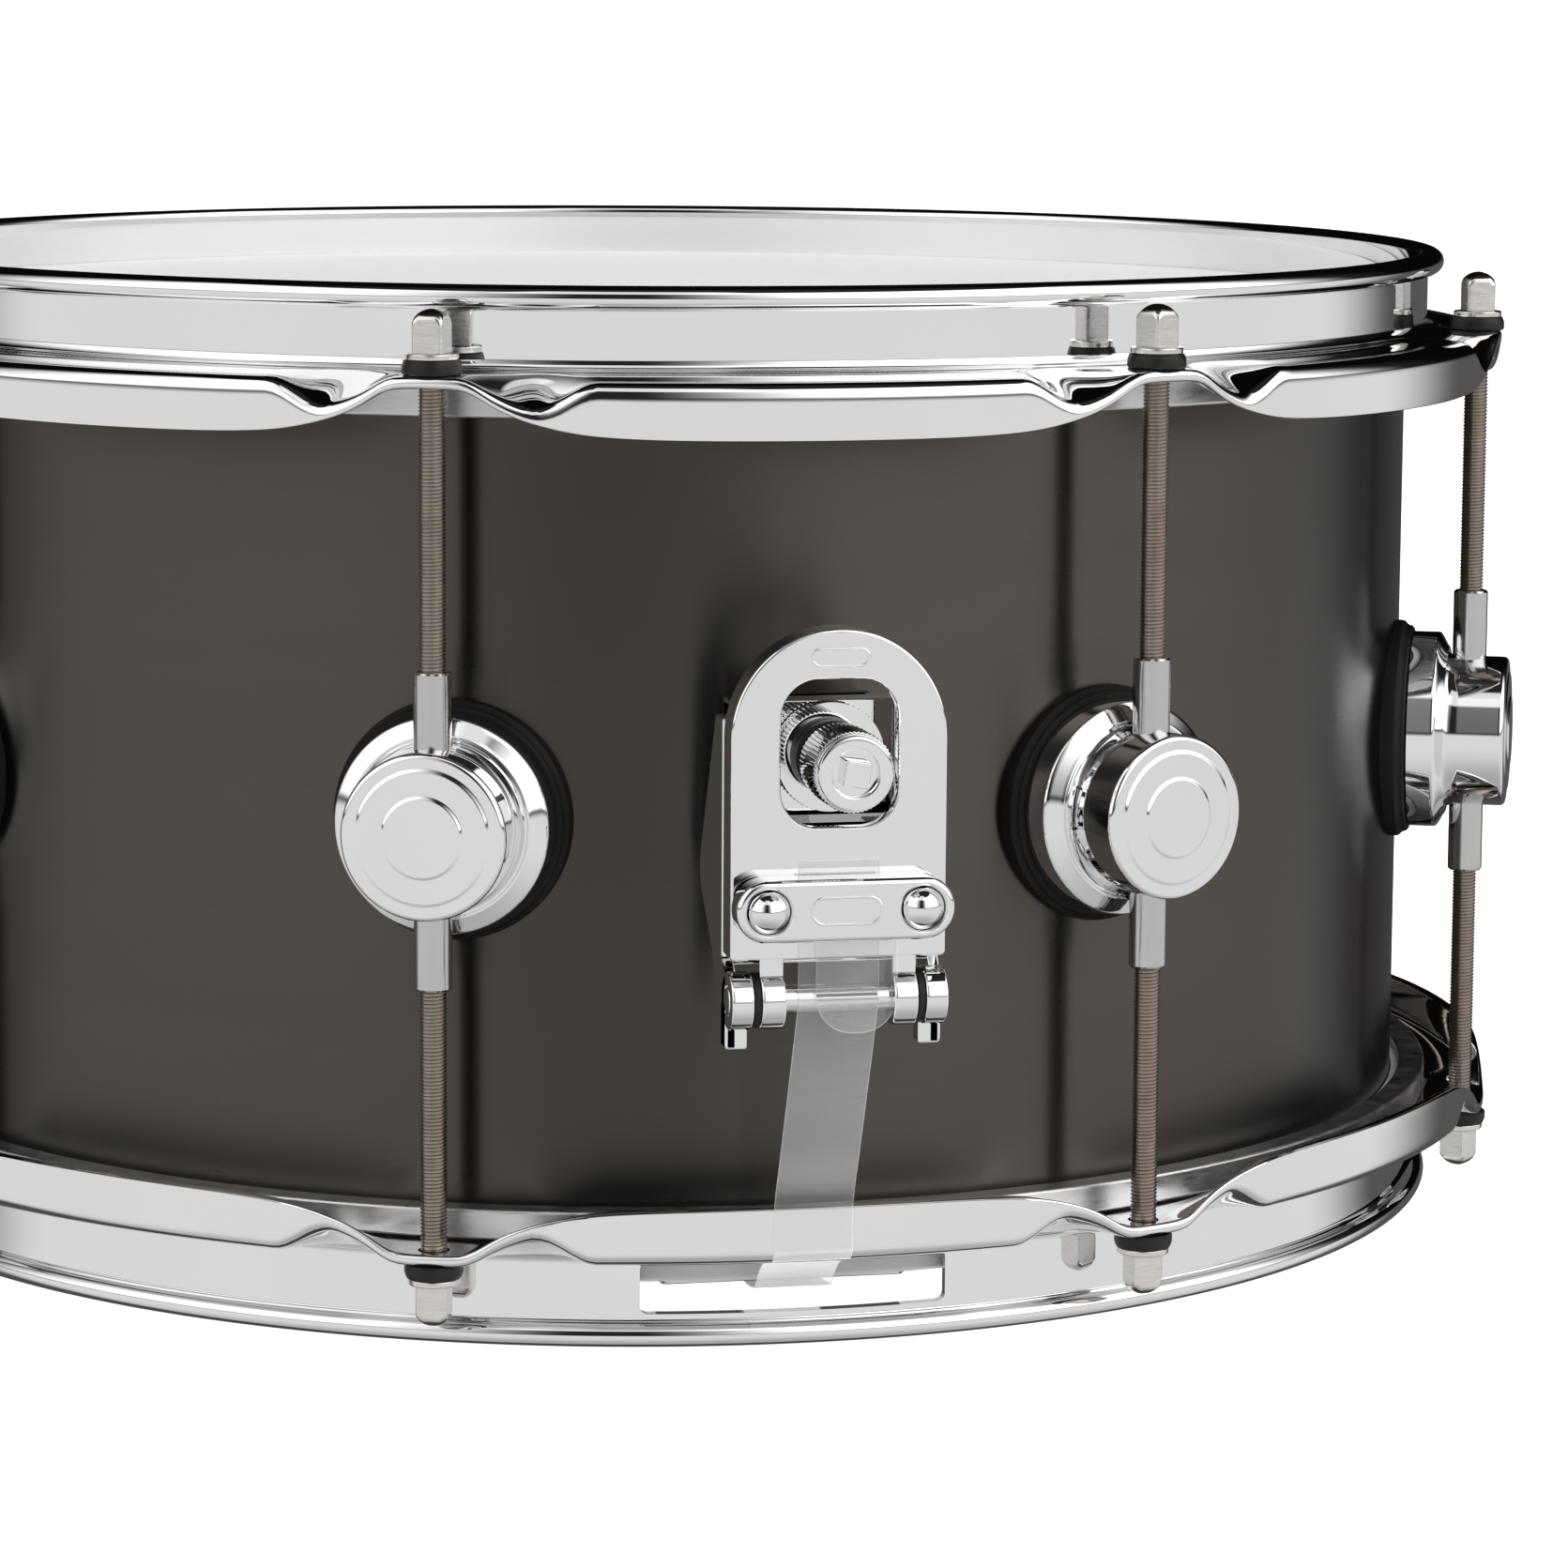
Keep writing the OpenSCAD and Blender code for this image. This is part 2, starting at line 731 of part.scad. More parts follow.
module snare_end_plates() {
  half_w = 24;
  color(steel) for (s = [0, 1]) rotate([0, 0, 180 * s])
    block([-half_w, half_w], plate_y, [wire_z - 0.8, wire_z + 0.8]);
}

shell();
vent_grommet();
batter_head();
batter_flesh_hoop();
snare_head();
snare_flesh_hoop();
lug_gaskets();
lug_housings();
lug_sleeves();
lug_screws();
lug_washers();
strainer_gasket();
strainer_base();
strainer_screws();
guide_rods();
butt_gasket();
butt_plate();
butt_screws();
butt_clamp();
butt_clamp_screws();
top_hoop();
top_steel_washers();
top_nylon_washers();
bottom_hoop();
bottom_steel_washers();
bottom_nylon_washers();
top_rod(1);  // top_rod_1
top_rod(2);  // top_rod_2
top_rod(3);  // top_rod_3
top_rod(4);  // top_rod_4
top_rod(5);  // top_rod_5
top_rod(6);  // top_rod_6
top_rod(7);  // top_rod_7
top_rod(8);  // top_rod_8
bottom_rod(1);  // bottom_rod_1
bottom_rod(2);  // bottom_rod_2
bottom_rod(3);  // bottom_rod_3
bottom_rod(4);  // bottom_rod_4
bottom_rod(5);  // bottom_rod_5
bottom_rod(6);  // bottom_rod_6
bottom_rod(7);  // bottom_rod_7
bottom_rod(8);  // bottom_rod_8
carriage();
hinge_pin();
hinge_washers();
lever();
clamp_plate();
clamp_screws();
tension_knob();
adjuster_wheel();
snare_strap();
butt_strap();
snare_wires();
snare_end_plates();
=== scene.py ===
import math

import bmesh
import bpy
from mathutils import Matrix, Vector
from mathutils.geometry import tessellate_polygon


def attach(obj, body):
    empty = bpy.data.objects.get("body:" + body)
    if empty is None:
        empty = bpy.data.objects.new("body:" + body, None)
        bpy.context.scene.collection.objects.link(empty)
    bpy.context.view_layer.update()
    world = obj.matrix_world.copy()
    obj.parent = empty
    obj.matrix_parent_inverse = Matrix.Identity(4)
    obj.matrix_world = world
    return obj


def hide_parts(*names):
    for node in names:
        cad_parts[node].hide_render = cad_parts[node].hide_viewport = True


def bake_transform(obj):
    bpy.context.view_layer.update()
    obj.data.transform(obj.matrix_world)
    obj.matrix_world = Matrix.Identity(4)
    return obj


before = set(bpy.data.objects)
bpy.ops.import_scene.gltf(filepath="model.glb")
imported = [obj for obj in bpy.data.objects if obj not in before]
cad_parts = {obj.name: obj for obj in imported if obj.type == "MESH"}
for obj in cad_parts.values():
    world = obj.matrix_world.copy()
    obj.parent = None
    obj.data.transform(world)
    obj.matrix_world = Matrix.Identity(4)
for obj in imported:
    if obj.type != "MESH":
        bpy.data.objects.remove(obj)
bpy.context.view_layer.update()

# ---------------------------------------------------------------- sizes, millimetres
MM = 0.001
DRUM_H = 200.8
MID_Z = DRUM_H / 2
SHELL_R = 165.1
EDGE_LOW, EDGE_TOP = 11.5, 189.3
LUGS = 8
LUG_STEP = 360 / LUGS
LUG_ANGLES = [LUG_STEP * (k + 0.5) for k in range(LUGS)]
ROD_CIRCLE = 180.5
TOP_RISE, BOTTOM_RISE = 16.0, 17.8
SHEET = 2.4
WALL_R = 169.6
RIM_R, RIM_H = 172.9, 4.6
HINGE_R, HINGE_Z = 201.5, 72.7
LEVER_R = 204.0
LUG_Z = MID_Z - 0.6
FLESH_IN, FLESH_OUT, FLESH_H = 167.0, 172.5, 5.8
ROD_SEAT = 4.0
LEVER_W, LEVER_LOW, LEVER_TOP, LEVER_DEPTH = 40.2, 80.3, 140.9, 7.0
WINDOW_W, WINDOW_LOW, WINDOW_TOP, WINDOW_CORNER = 21.8, 104.6, 131.7, 7.0
CLAMP_GAP = 1.2
PIN_R, PIN_HALF = 2.6, 20.3
CARRIAGE_FACE = 189.5
BASE_W, BASE_LOW, BASE_TOP, BASE_BACK = 28, 80, 124, 166.2
GUIDE_X, GUIDE_R, GUIDE_CIRCLE = 9, 2, 180
PAD_OUT = 166.3
BUTT_Z, BUTT_FACE = 84, 186
GATE_W, GATE_H, GATE_CORNER, GATE_Z = 59.5, 10.2, 1.6, 11.1
STRAP_W, STRAP_T = 15, 0.4
TAIL_W, TAIL_H, TAIL_CORNER, TAIL_X, TAIL_Z = 15.2, 29.2, 6.9, 3.3, 81.2
WIRES, WIRE_STEP, COIL_R, WIRE_R, SNARE_RUN = 20, 2.3, 0.45, 0.15, 146
KNOB_Z = 116.4
CLAMP_Z = 90.4
CLAMP_W, CLAMP_H, CLAMP_T = 40.6, 11.6, 5.8
CLAMP_SCREW_X = 14.3
KNUCKLE_IN, KNUCKLE_OUT = (10.1, 14.6), (16.0, 20.2)
VENT_ANGLE = -135.0


# ---------------------------------------------------------------- mesh helpers
def turn(degrees, axis="Z"):
    return Matrix.Rotation(math.radians(degrees), 4, axis)


def move(x=0.0, y=0.0, z=0.0):
    return Matrix.Translation((x, y, z))


def outward(z=0.0, x=0.0):
    """Local x, y and depth become X, Z and the distance from the drum's axis on -Y."""
    return move(x, 0, z) @ turn(90, "X")


def arc(cx, cy, r, start, end, n):
    """Points of an arc in degrees, both ends included."""
    angles = [math.radians(start + (end - start) * i / n) for i in range(n + 1)]
    return [(cx + r * math.cos(a), cy + r * math.sin(a)) for a in angles]


def spline(points, sub):
    """Catmull-Rom curve through the points."""
    out = []
    last = len(points) - 1
    for i in range(last):
        p0, p1 = points[max(i - 1, 0)], points[i]
        p2, p3 = points[i + 1], points[min(i + 2, last)]
        for s in range(sub):
            t = s / sub
            out.append(tuple(
                0.5 * (2 * b + (c - a) * t + (2 * a - 5 * b + 4 * c - d) * t * t
                       + (3 * b - a - 3 * c + d) * t ** 3)
                for a, b, c, d in zip(p0, p1, p2, p3)
            ))
    out.append(points[last])
    return out


class Mesh:
    """Vertices and faces of one piece, in millimetres."""

    def __init__(self):
        self.verts, self.faces = [], []

    def add(self, verts, faces, place=None):
        base = len(self.verts)
        place = place or Matrix.Identity(4)
        self.verts += [place @ Vector(v) for v in verts]
        self.faces += [tuple(base + i for i in f) for f in faces]
        return self

    def lathe(self, profile, steps=96, place=None, closed=True):
        """Turns (r, z) points about Z.

        A closed profile is a ring. An open one starts and ends on the axis.
        """
        inner = profile if closed else profile[1:-1]
        verts, faces = [], []
        for j in range(steps):
            a = 2 * math.pi * j / steps
            verts += [(r * math.cos(a), r * math.sin(a), z) for r, z in inner]
        n = len(inner)
        for j in range(steps):
            k = (j + 1) % steps
            for i in range(n if closed else n - 1):
                i2 = (i + 1) % n
                faces.append((j * n + i, k * n + i, k * n + i2, j * n + i2))
        if not closed:
            for z, i in ((profile[0][1], 0), (profile[-1][1], n - 1)):
                pole = len(verts)
                verts.append((0, 0, z))
                faces += [(pole, j * n + i, (j + 1) % steps * n + i) for j in range(steps)]
        return self.add(verts, faces, place)

    def loft(self, rings, place=None, caps=True, around=True):
        """Joins rings of equally many points."""
        n = len(rings[0])
        verts = [p for ring in rings for p in ring]
        faces = []
        for a in range(len(rings) - 1):
            for i in range(n if around else n - 1):
                i2 = (i + 1) % n
                faces.append((a * n + i, a * n + i2, (a + 1) * n + i2, (a + 1) * n + i))
        if caps:
            faces += [tuple(range(n)), tuple(range(len(verts) - n, len(verts)))]
        return self.add(verts, faces, place)

    def plate(self, rings, holes=(), place=None):
        """Solid plate whose rings run from the back face's edge to the front's, as each hole's do."""
        for band in (rings, *holes):
            self.loft(band, place, caps=False)
        for end in (0, -1):
            loops = [[Vector(p) for p in band[end]] for band in (rings, *holes)]
            flat = [p for loop in loops for p in loop]
            self.add(flat, tessellate_polygon(loops), place)
        return self

    def build(self, name, sharp=32):
        mesh = bpy.data.meshes.new(name)
        mesh.from_pydata([v * MM for v in self.verts], [], self.faces)
        bm = bmesh.new()
        bm.from_mesh(mesh)
        bmesh.ops.remove_doubles(bm, verts=bm.verts, dist=1e-6)
        bmesh.ops.dissolve_degenerate(bm, edges=bm.edges, dist=1e-7)
        bmesh.ops.recalc_face_normals(bm, faces=bm.faces)
        bm.to_mesh(mesh)
        bm.free()
        mesh.shade_smooth()
        mesh.set_sharp_from_angle(angle=math.radians(sharp))
        return applied(mesh, "WEIGHTED_NORMAL", keep_sharp=True)


def applied(mesh, kind, **settings):
    """The mesh after one modifier. WEIGHTED_NORMAL keeps flat faces flat beside their round edges."""
    holder = bpy.data.objects.new("holder", mesh)
    bpy.context.scene.collection.objects.link(holder)
    mod = holder.modifiers.new("step", kind)
    for key, value in settings.items():
        setattr(mod, key, value)
    bpy.context.view_layer.update()
    done = bpy.data.meshes.new_from_object(holder.evaluated_get(bpy.context.evaluated_depsgraph_get()))
    done.name = mesh.name
    bpy.data.objects.remove(holder)
    return done


def outline(w, h, r, n=10):
    """Rounded rectangle as (x, y, normal x, normal y), with a short lead-in beside each corner."""
    points = []
    sides = (h - 2 * r, w - 2 * r)
    for k, (cx, cy) in enumerate(((1, 1), (-1, 1), (-1, -1), (1, -1))):
        corner = []
        for i in range(n + 1):
            t = math.radians(90 * k + 90 * i / n)
            x, y = math.cos(t), math.sin(t)
            corner.append((cx * (w / 2 - r) + r * x, cy * (h / 2 - r) + r * y, x, y))
        before, after = min(0.8, 0.3 * sides[k % 2]), min(0.8, 0.3 * sides[(k + 1) % 2])
        if min(sides) > 0.2:
            x, y, nx, ny = corner[0]
            corner.insert(0, (x + ny * before, y - nx * before, nx, ny))
            x, y, nx, ny = corner[-1]
            corner.append((x - ny * after, y + nx * after, nx, ny))
        points += corner
    return points


def arch_outline(half_w, low, top, corner, n=12):
    """Half-round top on a rectangle with small lower corners, as (x, y, normal x, normal y)."""
    mid = top - half_w
    points = [(half_w, mid - 1.2, 1, 0)]
    for i in range(4 * n + 1):
        t = math.pi * i / (4 * n)
        points.append((half_w * math.cos(t), mid + half_w * math.sin(t), math.cos(t), math.sin(t)))
    points.append((-half_w, mid - 1.2, -1, 0))
    for cx, a in ((-1, 180), (1, 270)):
        for i in range(n + 1):
            t = math.radians(a + 90 * i / n)
            x, y = math.cos(t), math.sin(t)
            points.append((cx * (half_w - corner) + corner * x, low + corner + corner * y, x, y))
    return points


def rings_of(points, steps):
    """One ring per (inset, depth)."""
    return [[(x - nx * inset, y - ny * inset, depth) for x, y, nx, ny in points]
            for inset, depth in steps]


def bevelled(back, front, bevel=0.4, n=4, back_bevel=0.2):
    """(inset, depth) steps of a slab's side with a round front edge and a small back chamfer."""
    steps = [(back_bevel, back), (0, back + back_bevel)]
    for i in range(n + 1):
        t = math.pi / 2 * i / n
        steps.append((bevel * (1 - math.cos(t)), front - bevel + bevel * math.sin(t)))
    return steps


def slab(mesh, points, back, front, bevel=0.4, place=None, holes=(), back_bevel=0.2):
    side = bevelled(back, front, bevel, back_bevel=back_bevel)
    cuts = [rings_of(hole, [(-i, d) for i, d in side]) for hole in holes]
    return mesh.plate(rings_of(points, side), cuts, place)


def rod_profile(r, z0, z1, bevel=0.3, n=3):
    """Open lathe profile of a cylinder with rounded edges, low to high."""
    low = [(r - bevel + x, z0 + bevel + y) for x, y in arc(0, 0, bevel, -90, 0, n)]
    high = [(r - bevel + x, z1 - bevel + y) for x, y in arc(0, 0, bevel, 0, 90, n)]
    return [(0, z0), *low, *high, (0, z1)]


def ring_profile(r1, r2, z0, z1, bevel=0.2, n=3):
    """Closed lathe profile of a ring with rounded edges."""
    points = []
    for cx, cy, a in ((r2 - bevel, z1 - bevel, 0), (r1 + bevel, z1 - bevel, 90),
                      (r1 + bevel, z0 + bevel, 180), (r2 - bevel, z0 + bevel, 270)):
        points += arc(cx, cy, bevel, a, a + 90, n)
    return points


# ---------------------------------------------------------------- materials
def tree(name):
    mat = bpy.data.materials.new(name)
    mat.use_nodes = True
    nt = mat.node_tree
    nt.nodes.clear()
    out = nt.nodes.new("ShaderNodeOutputMaterial")
    return mat, nt, out


def noise(nt, scale, detail=4.0, stretch=(1, 1, 1)):
    co = nt.nodes.new("ShaderNodeTexCoord")
    mapping = nt.nodes.new("ShaderNodeMapping")
    mapping.inputs["Scale"].default_value = stretch
    tex = nt.nodes.new("ShaderNodeTexNoise")
    tex.inputs["Scale"].default_value = scale
    tex.inputs["Detail"].default_value = detail
    nt.links.new(co.outputs["Object"], mapping.inputs["Vector"])
    nt.links.new(mapping.outputs["Vector"], tex.inputs["Vector"])
    return tex.outputs["Fac"]


def remap(nt, value, low, high):
    node = nt.nodes.new("ShaderNodeMapRange")
    node.inputs["From Min"].default_value = 0.3
    node.inputs["From Max"].default_value = 0.7
    node.inputs["To Min"].default_value = low
    node.inputs["To Max"].default_value = high
    nt.links.new(value, node.inputs["Value"])
    return node.outputs["Result"]


def two_tone(nt, value, dark, light):
    ramp = nt.nodes.new("ShaderNodeValToRGB")
    ramp.color_ramp.elements[0].position = 0.3
    ramp.color_ramp.elements[0].color = (*dark, 1)
    ramp.color_ramp.elements[1].position = 0.7
    ramp.color_ramp.elements[1].color = (*light, 1)
    nt.links.new(value, ramp.inputs["Fac"])
    return ramp.outputs["Color"]


def surface(name, dark, light, rough, metallic=0.0, scale=60.0, stretch=(1, 1, 1),
            bump=0.0, bump_scale=900.0, bump_stretch=(1, 1, 1), specular=0.5, brushed=0.0):
    """Principled surface whose colour and roughness drift with noise. Brushing runs round the Z axis."""
    mat, nt, out = tree(name)
    shader = nt.nodes.new("ShaderNodeBsdfPrincipled")
    shader.inputs["Metallic"].default_value = metallic
    shader.inputs["Specular IOR Level"].default_value = specular
    if brushed:
        shader.inputs["Anisotropic"].default_value = brushed
        shader.inputs["Anisotropic Rotation"].default_value = 0.25
        around = nt.nodes.new("ShaderNodeTangent")
        around.direction_type = "RADIAL"
        around.axis = "Z"
        nt.links.new(around.outputs["Tangent"], shader.inputs["Tangent"])
    drift = noise(nt, scale, 5, stretch)
    nt.links.new(two_tone(nt, drift, dark, light), shader.inputs["Base Color"])
    nt.links.new(remap(nt, drift, *rough), shader.inputs["Roughness"])
    if bump:
        grain = noise(nt, bump_scale, 3, bump_stretch)
        node = nt.nodes.new("ShaderNodeBump")
        node.inputs["Strength"].default_value = bump
        node.inputs["Distance"].default_value = 0.0001
        nt.links.new(grain, node.inputs["Height"])
        nt.links.new(node.outputs["Normal"], shader.inputs["Normal"])
    nt.links.new(shader.outputs["BSDF"], out.inputs["Surface"])
    return mat


def clear_plastic(name, haze, tint, rough):
    """Clear sheet: mostly see-through, with a pale haze and a soft shine."""
    mat, nt, out = tree(name)
    see = nt.nodes.new("ShaderNodeBsdfTransparent")
    see.inputs["Color"].default_value = (*tint, 1)
    shine = nt.nodes.new("ShaderNodeBsdfPrincipled")
    drift = noise(nt, 30, 2)
    pale = two_tone(nt, drift, (0.78, 0.79, 0.8), (0.9, 0.9, 0.9))
    nt.links.new(pale, shine.inputs["Base Color"])
    shine.inputs["Roughness"].default_value = rough
    mix = nt.nodes.new("ShaderNodeMixShader")
    edge = nt.nodes.new("ShaderNodeLayerWeight")
    edge.inputs["Blend"].default_value = 0.35
    amount = nt.nodes.new("ShaderNodeMapRange")
    amount.inputs["From Min"].default_value = 0.13
    amount.inputs["From Max"].default_value = 0.75
    amount.inputs["To Min"].default_value = haze
    amount.inputs["To Max"].default_value = 0.85
    nt.links.new(edge.outputs["Facing"], amount.inputs["Value"])
    nt.links.new(amount.outputs["Result"], mix.inputs["Fac"])
    nt.links.new(see.outputs["BSDF"], mix.inputs[1])
    nt.links.new(shine.outputs["BSDF"], mix.inputs[2])
    nt.links.new(mix.outputs["Shader"], out.inputs["Surface"])
    return mat


CHROME = surface("chrome", (0.82, 0.825, 0.83), (0.85, 0.855, 0.86), (0.02, 0.035), 1.0, 25)
SHELL = surface("dark_nickel", (0.091, 0.082, 0.072), (0.095, 0.086, 0.076), (0.265, 0.28), 1.0,
                12, (1, 1, 6), 0.05, 700, (1, 1, 10), brushed=0.9)
ROD = surface("rod_steel", (0.30, 0.25, 0.21), (0.37, 0.315, 0.27), (0.26, 0.34), 1.0, 300)
KEY = surface("brushed_steel", (0.68, 0.65, 0.62), (0.78, 0.76, 0.73), (0.14, 0.24), 1.0,
              260, (1, 1, 9), 0.12, 900, (1, 1, 12))
SLEEVE = surface("turned_steel", (0.56, 0.545, 0.53), (0.60, 0.585, 0.57), (0.13, 0.17), 1.0,
                 90, (3, 3, 1))
RUBBER = surface("gasket_rubber", (0.0035, 0.0035, 0.0035), (0.006, 0.006, 0.006), (0.5, 0.62),
                 0.0, 200, bump=0.15, specular=0.2)
NYLON = surface("black_nylon", (0.004, 0.004, 0.004), (0.009, 0.009, 0.009), (0.35, 0.5),
                0.0, 300, bump=0.15, specular=0.3)
ALU = surface("flesh_aluminium", (0.60, 0.60, 0.60), (0.72, 0.72, 0.72), (0.26, 0.40), 1.0,
              200, (1, 1, 8), 0.25, 900, (1, 1, 10))
COATED = surface("batter_film", (0.78, 0.78, 0.77), (0.84, 0.84, 0.83), (0.5, 0.7), 0.0,
                 700, bump=0.5, bump_scale=1600)
WIRE = surface("snare_steel", (0.55, 0.55, 0.55), (0.7, 0.7, 0.7), (0.2, 0.3), 1.0, 400)
CLEAR = clear_plastic("clear_strap", 0.055, (0.985, 0.985, 0.985), 0.1)
FILM = clear_plastic("snare_film", 0.30, (0.9, 0.9, 0.9), 0.2)


def piece(name, mesh, material, body, slot, *nodes, place=None, sharp=32):
    """One visible piece: its mesh, finish, body, material slot (not used) and the CAD nodes it stands for.
    """
    data = mesh.build(name, sharp) if isinstance(mesh, Mesh) else mesh
    if not data.materials:
        data.materials.append(material)
    obj = bpy.data.objects.new(name, data)
    bpy.context.scene.collection.objects.link(obj)
    if place is not None:
        spin = place.to_quaternion().to_matrix().to_4x4()
        obj.matrix_world = Matrix.Translation(place.translation * MM) @ spin
    if body:
        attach(obj, body)
    if nodes:
        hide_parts(*nodes)
    return obj


def cut(obj, cutter):
    """Takes the cutter mesh away from the piece for good."""
    tool = bpy.data.objects.new("cutter", cutter.build("cutter"))
    bpy.context.scene.collection.objects.link(tool)
    result = applied(obj.data, "BOOLEAN", operation="DIFFERENCE", solver="EXACT", object=tool)
    result.set_sharp_from_angle(angle=math.radians(32))
    obj.data = applied(result, "WEIGHTED_NORMAL", keep_sharp=True)
    bpy.data.objects.remove(tool)


# ---------------------------------------------------------------- shell and heads
def build_shell():
    lip = 5.0
    wall = SHELL_R - 1.5
    shell = Mesh().lathe([
        (SHELL_R, EDGE_LOW + 1), (SHELL_R, 60), (SHELL_R, MID_Z), (SHELL_R, 140),
        (SHELL_R, EDGE_TOP - 1), (SHELL_R - 0.3, EDGE_TOP - 0.3), (SHELL_R - 1, EDGE_TOP),
        (SHELL_R - lip, EDGE_TOP - lip + 1), (SHELL_R - lip, EDGE_TOP - lip - 1),
        (wall, EDGE_TOP - 4.5), (wall, MID_Z), (wall, EDGE_LOW + 4.5),
        (SHELL_R - lip, EDGE_LOW + lip + 1), (SHELL_R - lip, EDGE_LOW + lip - 1),
        (SHELL_R - 1, EDGE_LOW), (SHELL_R - 0.3, EDGE_LOW + 0.3),
    ], 256)
    obj = piece("shell_body", shell, SHELL, "drum", "shell_nickel", "shell")
    drill = Mesh().lathe(rod_profile(6.1, SHELL_R - 12, SHELL_R + 8), 48, turn(VENT_ANGLE) @ outward(MID_Z),
                         closed=False)
    cut(obj, drill)
    grommet = Mesh()
    grommet.lathe([(4, SHELL_R - 4), (4, SHELL_R + 1.6), (4.4, SHELL_R + 2.2), (6.5, SHELL_R + 2.2),
                   (8.4, SHELL_R + 1.2), (9, SHELL_R - 0.1), (9, SHELL_R - 0.4), (6, SHELL_R - 0.4),
                   (6, SHELL_R - 4)], 48, turn(VENT_ANGLE) @ outward(MID_Z))
    piece("vent_eyelet", grommet, CHROME, "drum", "chrome", "vent_grommet")


def film_profile(collar, fold=0.4):
    """Drum head section, up from the shell's edge, on and outside the bearing edge."""
    inner, outer = SHELL_R + 0.3, SHELL_R + 0.7
    return [(0, 0), (80, 0), (150, 0), (inner - 0.9, 0), (inner - 0.2, -0.4), (inner, -1.1),
            (inner, -collar), (FLESH_IN, -collar), (FLESH_IN, fold - collar), (outer, fold - collar),
            (outer, -1.0), (outer - 0.3, -0.1), (outer - 1.2, 0.35), (150, fold), (80, fold),
            (0, fold)]


def build_heads():
    flesh_top = DRUM_H - TOP_RISE - SHEET - 0.4
    flesh_low = BOTTOM_RISE + SHEET + 0.4
    collar = FLESH_H - 2
    batter = film_profile(EDGE_TOP - flesh_top + collar)
    piece("batter_skin", Mesh().lathe(batter, 192, move(z=EDGE_TOP), closed=False),
          COATED, "drum", "batter_film", "batter_head")
    film = film_profile(flesh_low + collar - EDGE_LOW)
    piece("snare_skin", Mesh().lathe(film, 192, move(z=EDGE_LOW) @ turn(180, "X"), closed=False),
          FILM, "drum", "snare_film", "snare_head")
    for name, z0, node in (("batter_hoop_ring", flesh_top - FLESH_H, "batter_flesh_hoop"),
                           ("snare_hoop_ring", flesh_low, "snare_flesh_hoop")):
        ring = Mesh().lathe(ring_profile(FLESH_IN, FLESH_OUT, z0, z0 + FLESH_H, 0.7, 4), 192)
        piece(name, ring, ALU, "drum", "flesh_aluminium", node)


# ---------------------------------------------------------------- hoops
EAR_HALF, EAR_SOFT, SKIRT_RUN = 7.8, 1.2, 9.7
TURN_START, TURN_END = 18.0, 31.0
EAR_PATH = [(171.8, 0), (175, 0), (178, 0), (181, 0), (183.2, 0), (184.3, 0.05), (185.0, 0.3),
            (185.4, 0.8), (185.5, 1.3), (185.45, 1.8), (185.2, 2.2), (184.8, 2.4), (184.2, 2.4),
            (183.4, 2.4), (182.4, 2.4), (181, 2.4), (178, 2.4), (175, 2.4), (171.8, 2.4)]
SKIRT_PATH = [(171.8, -0.05), (175, 0.05), (178, 0.2), (180.6, 0.45), (182.2, 0.85), (183.3, 1.5),
              (183.95, 2.4), (184.25, 3.6), (184.3, 7.0), (184.3, 11.1), (184.0, 11.6),
              (183.5, 11.8), (182.6, 11.8), (182.1, 11.55), (181.9, 11.0), (181.9, 5.4),
              (181.2, 3.5), (178.6, 2.7), (171.8, 2.4)]


def smooth(u):
    u = min(1.0, max(0.0, u))
    return u * u * (3 - 2 * u)


def skirt_shares(degrees):
    """How far the flange has dropped, 0 on an ear, and how far its lip has turned into the upright skirt."""
    arc_mm = math.radians(abs(degrees % LUG_STEP - LUG_STEP / 2)) * ROD_CIRCLE
    past = (arc_mm - EAR_HALF) / EAR_SOFT
    drop = 1 - math.exp(-EAR_SOFT * math.log(1 + math.exp(past)) / SKIRT_RUN)
    return drop, smooth((arc_mm - TURN_START) / (TURN_END - TURN_START))


def hoop_section(rise, drop, turned):
    """Closed section as (r, distance below the rim)."""
    bend = 2.2
    wall_in = WALL_R - SHEET
    root, lip = EAR_PATH[0][0], 185.5
    flange = []
    for a, b in zip(EAR_PATH, SKIRT_PATH):
        k = (a[0] - root) / (lip - root)
        sloped = (a[0] - 1.2 * drop * k, a[1] + 9.4 * drop * k ** 1.3)
        folded = (a[0] * (1 - drop) + b[0] * drop, a[1] * (1 - drop) + b[1] * drop)
        flange.append((sloped[0] * (1 - turned) + folded[0] * turned,
                       rise + sloped[1] * (1 - turned) + folded[1] * turned))
    return [
        *arc(wall_in + 1.6, 1.6, 1.6, 180, 270, 6),
        *arc(RIM_R - 2.3, 2.3, 2.3, -90, 90, 14),
        (WALL_R + 0.45, RIM_H), (WALL_R + 0.1, RIM_H + 0.12), (WALL_R, RIM_H + 0.5),
        (WALL_R, RIM_H + 3), (WALL_R, rise - bend - 2),
        *arc(WALL_R + bend, rise - bend, bend, 180, 100, 7),
        *spline(flange, 3),
        *arc(WALL_R + bend, rise - bend, bend + SHEET, 100, 180, 7),
        (wall_in, rise - bend - 3), (wall_in, 5.0),
    ]


def hoop_mesh(rise, place):
    steps = LUGS * 96
    rings = []
    for k in range(steps):
        degrees = 360 * k / steps
        a = math.radians(degrees)
        rings.append([(r * math.sin(a), -r * math.cos(a), -d)
                      for r, d in hoop_section(rise, *skirt_shares(degrees))])
    return Mesh().loft([*rings, rings[0]], place, caps=False)


def rod_holes(cutter, z):
    for angle in LUG_ANGLES:
        cutter.lathe(rod_profile(3.0, z - 4, z + 6), 32, turn(angle) @ move(y=-ROD_CIRCLE), closed=False)


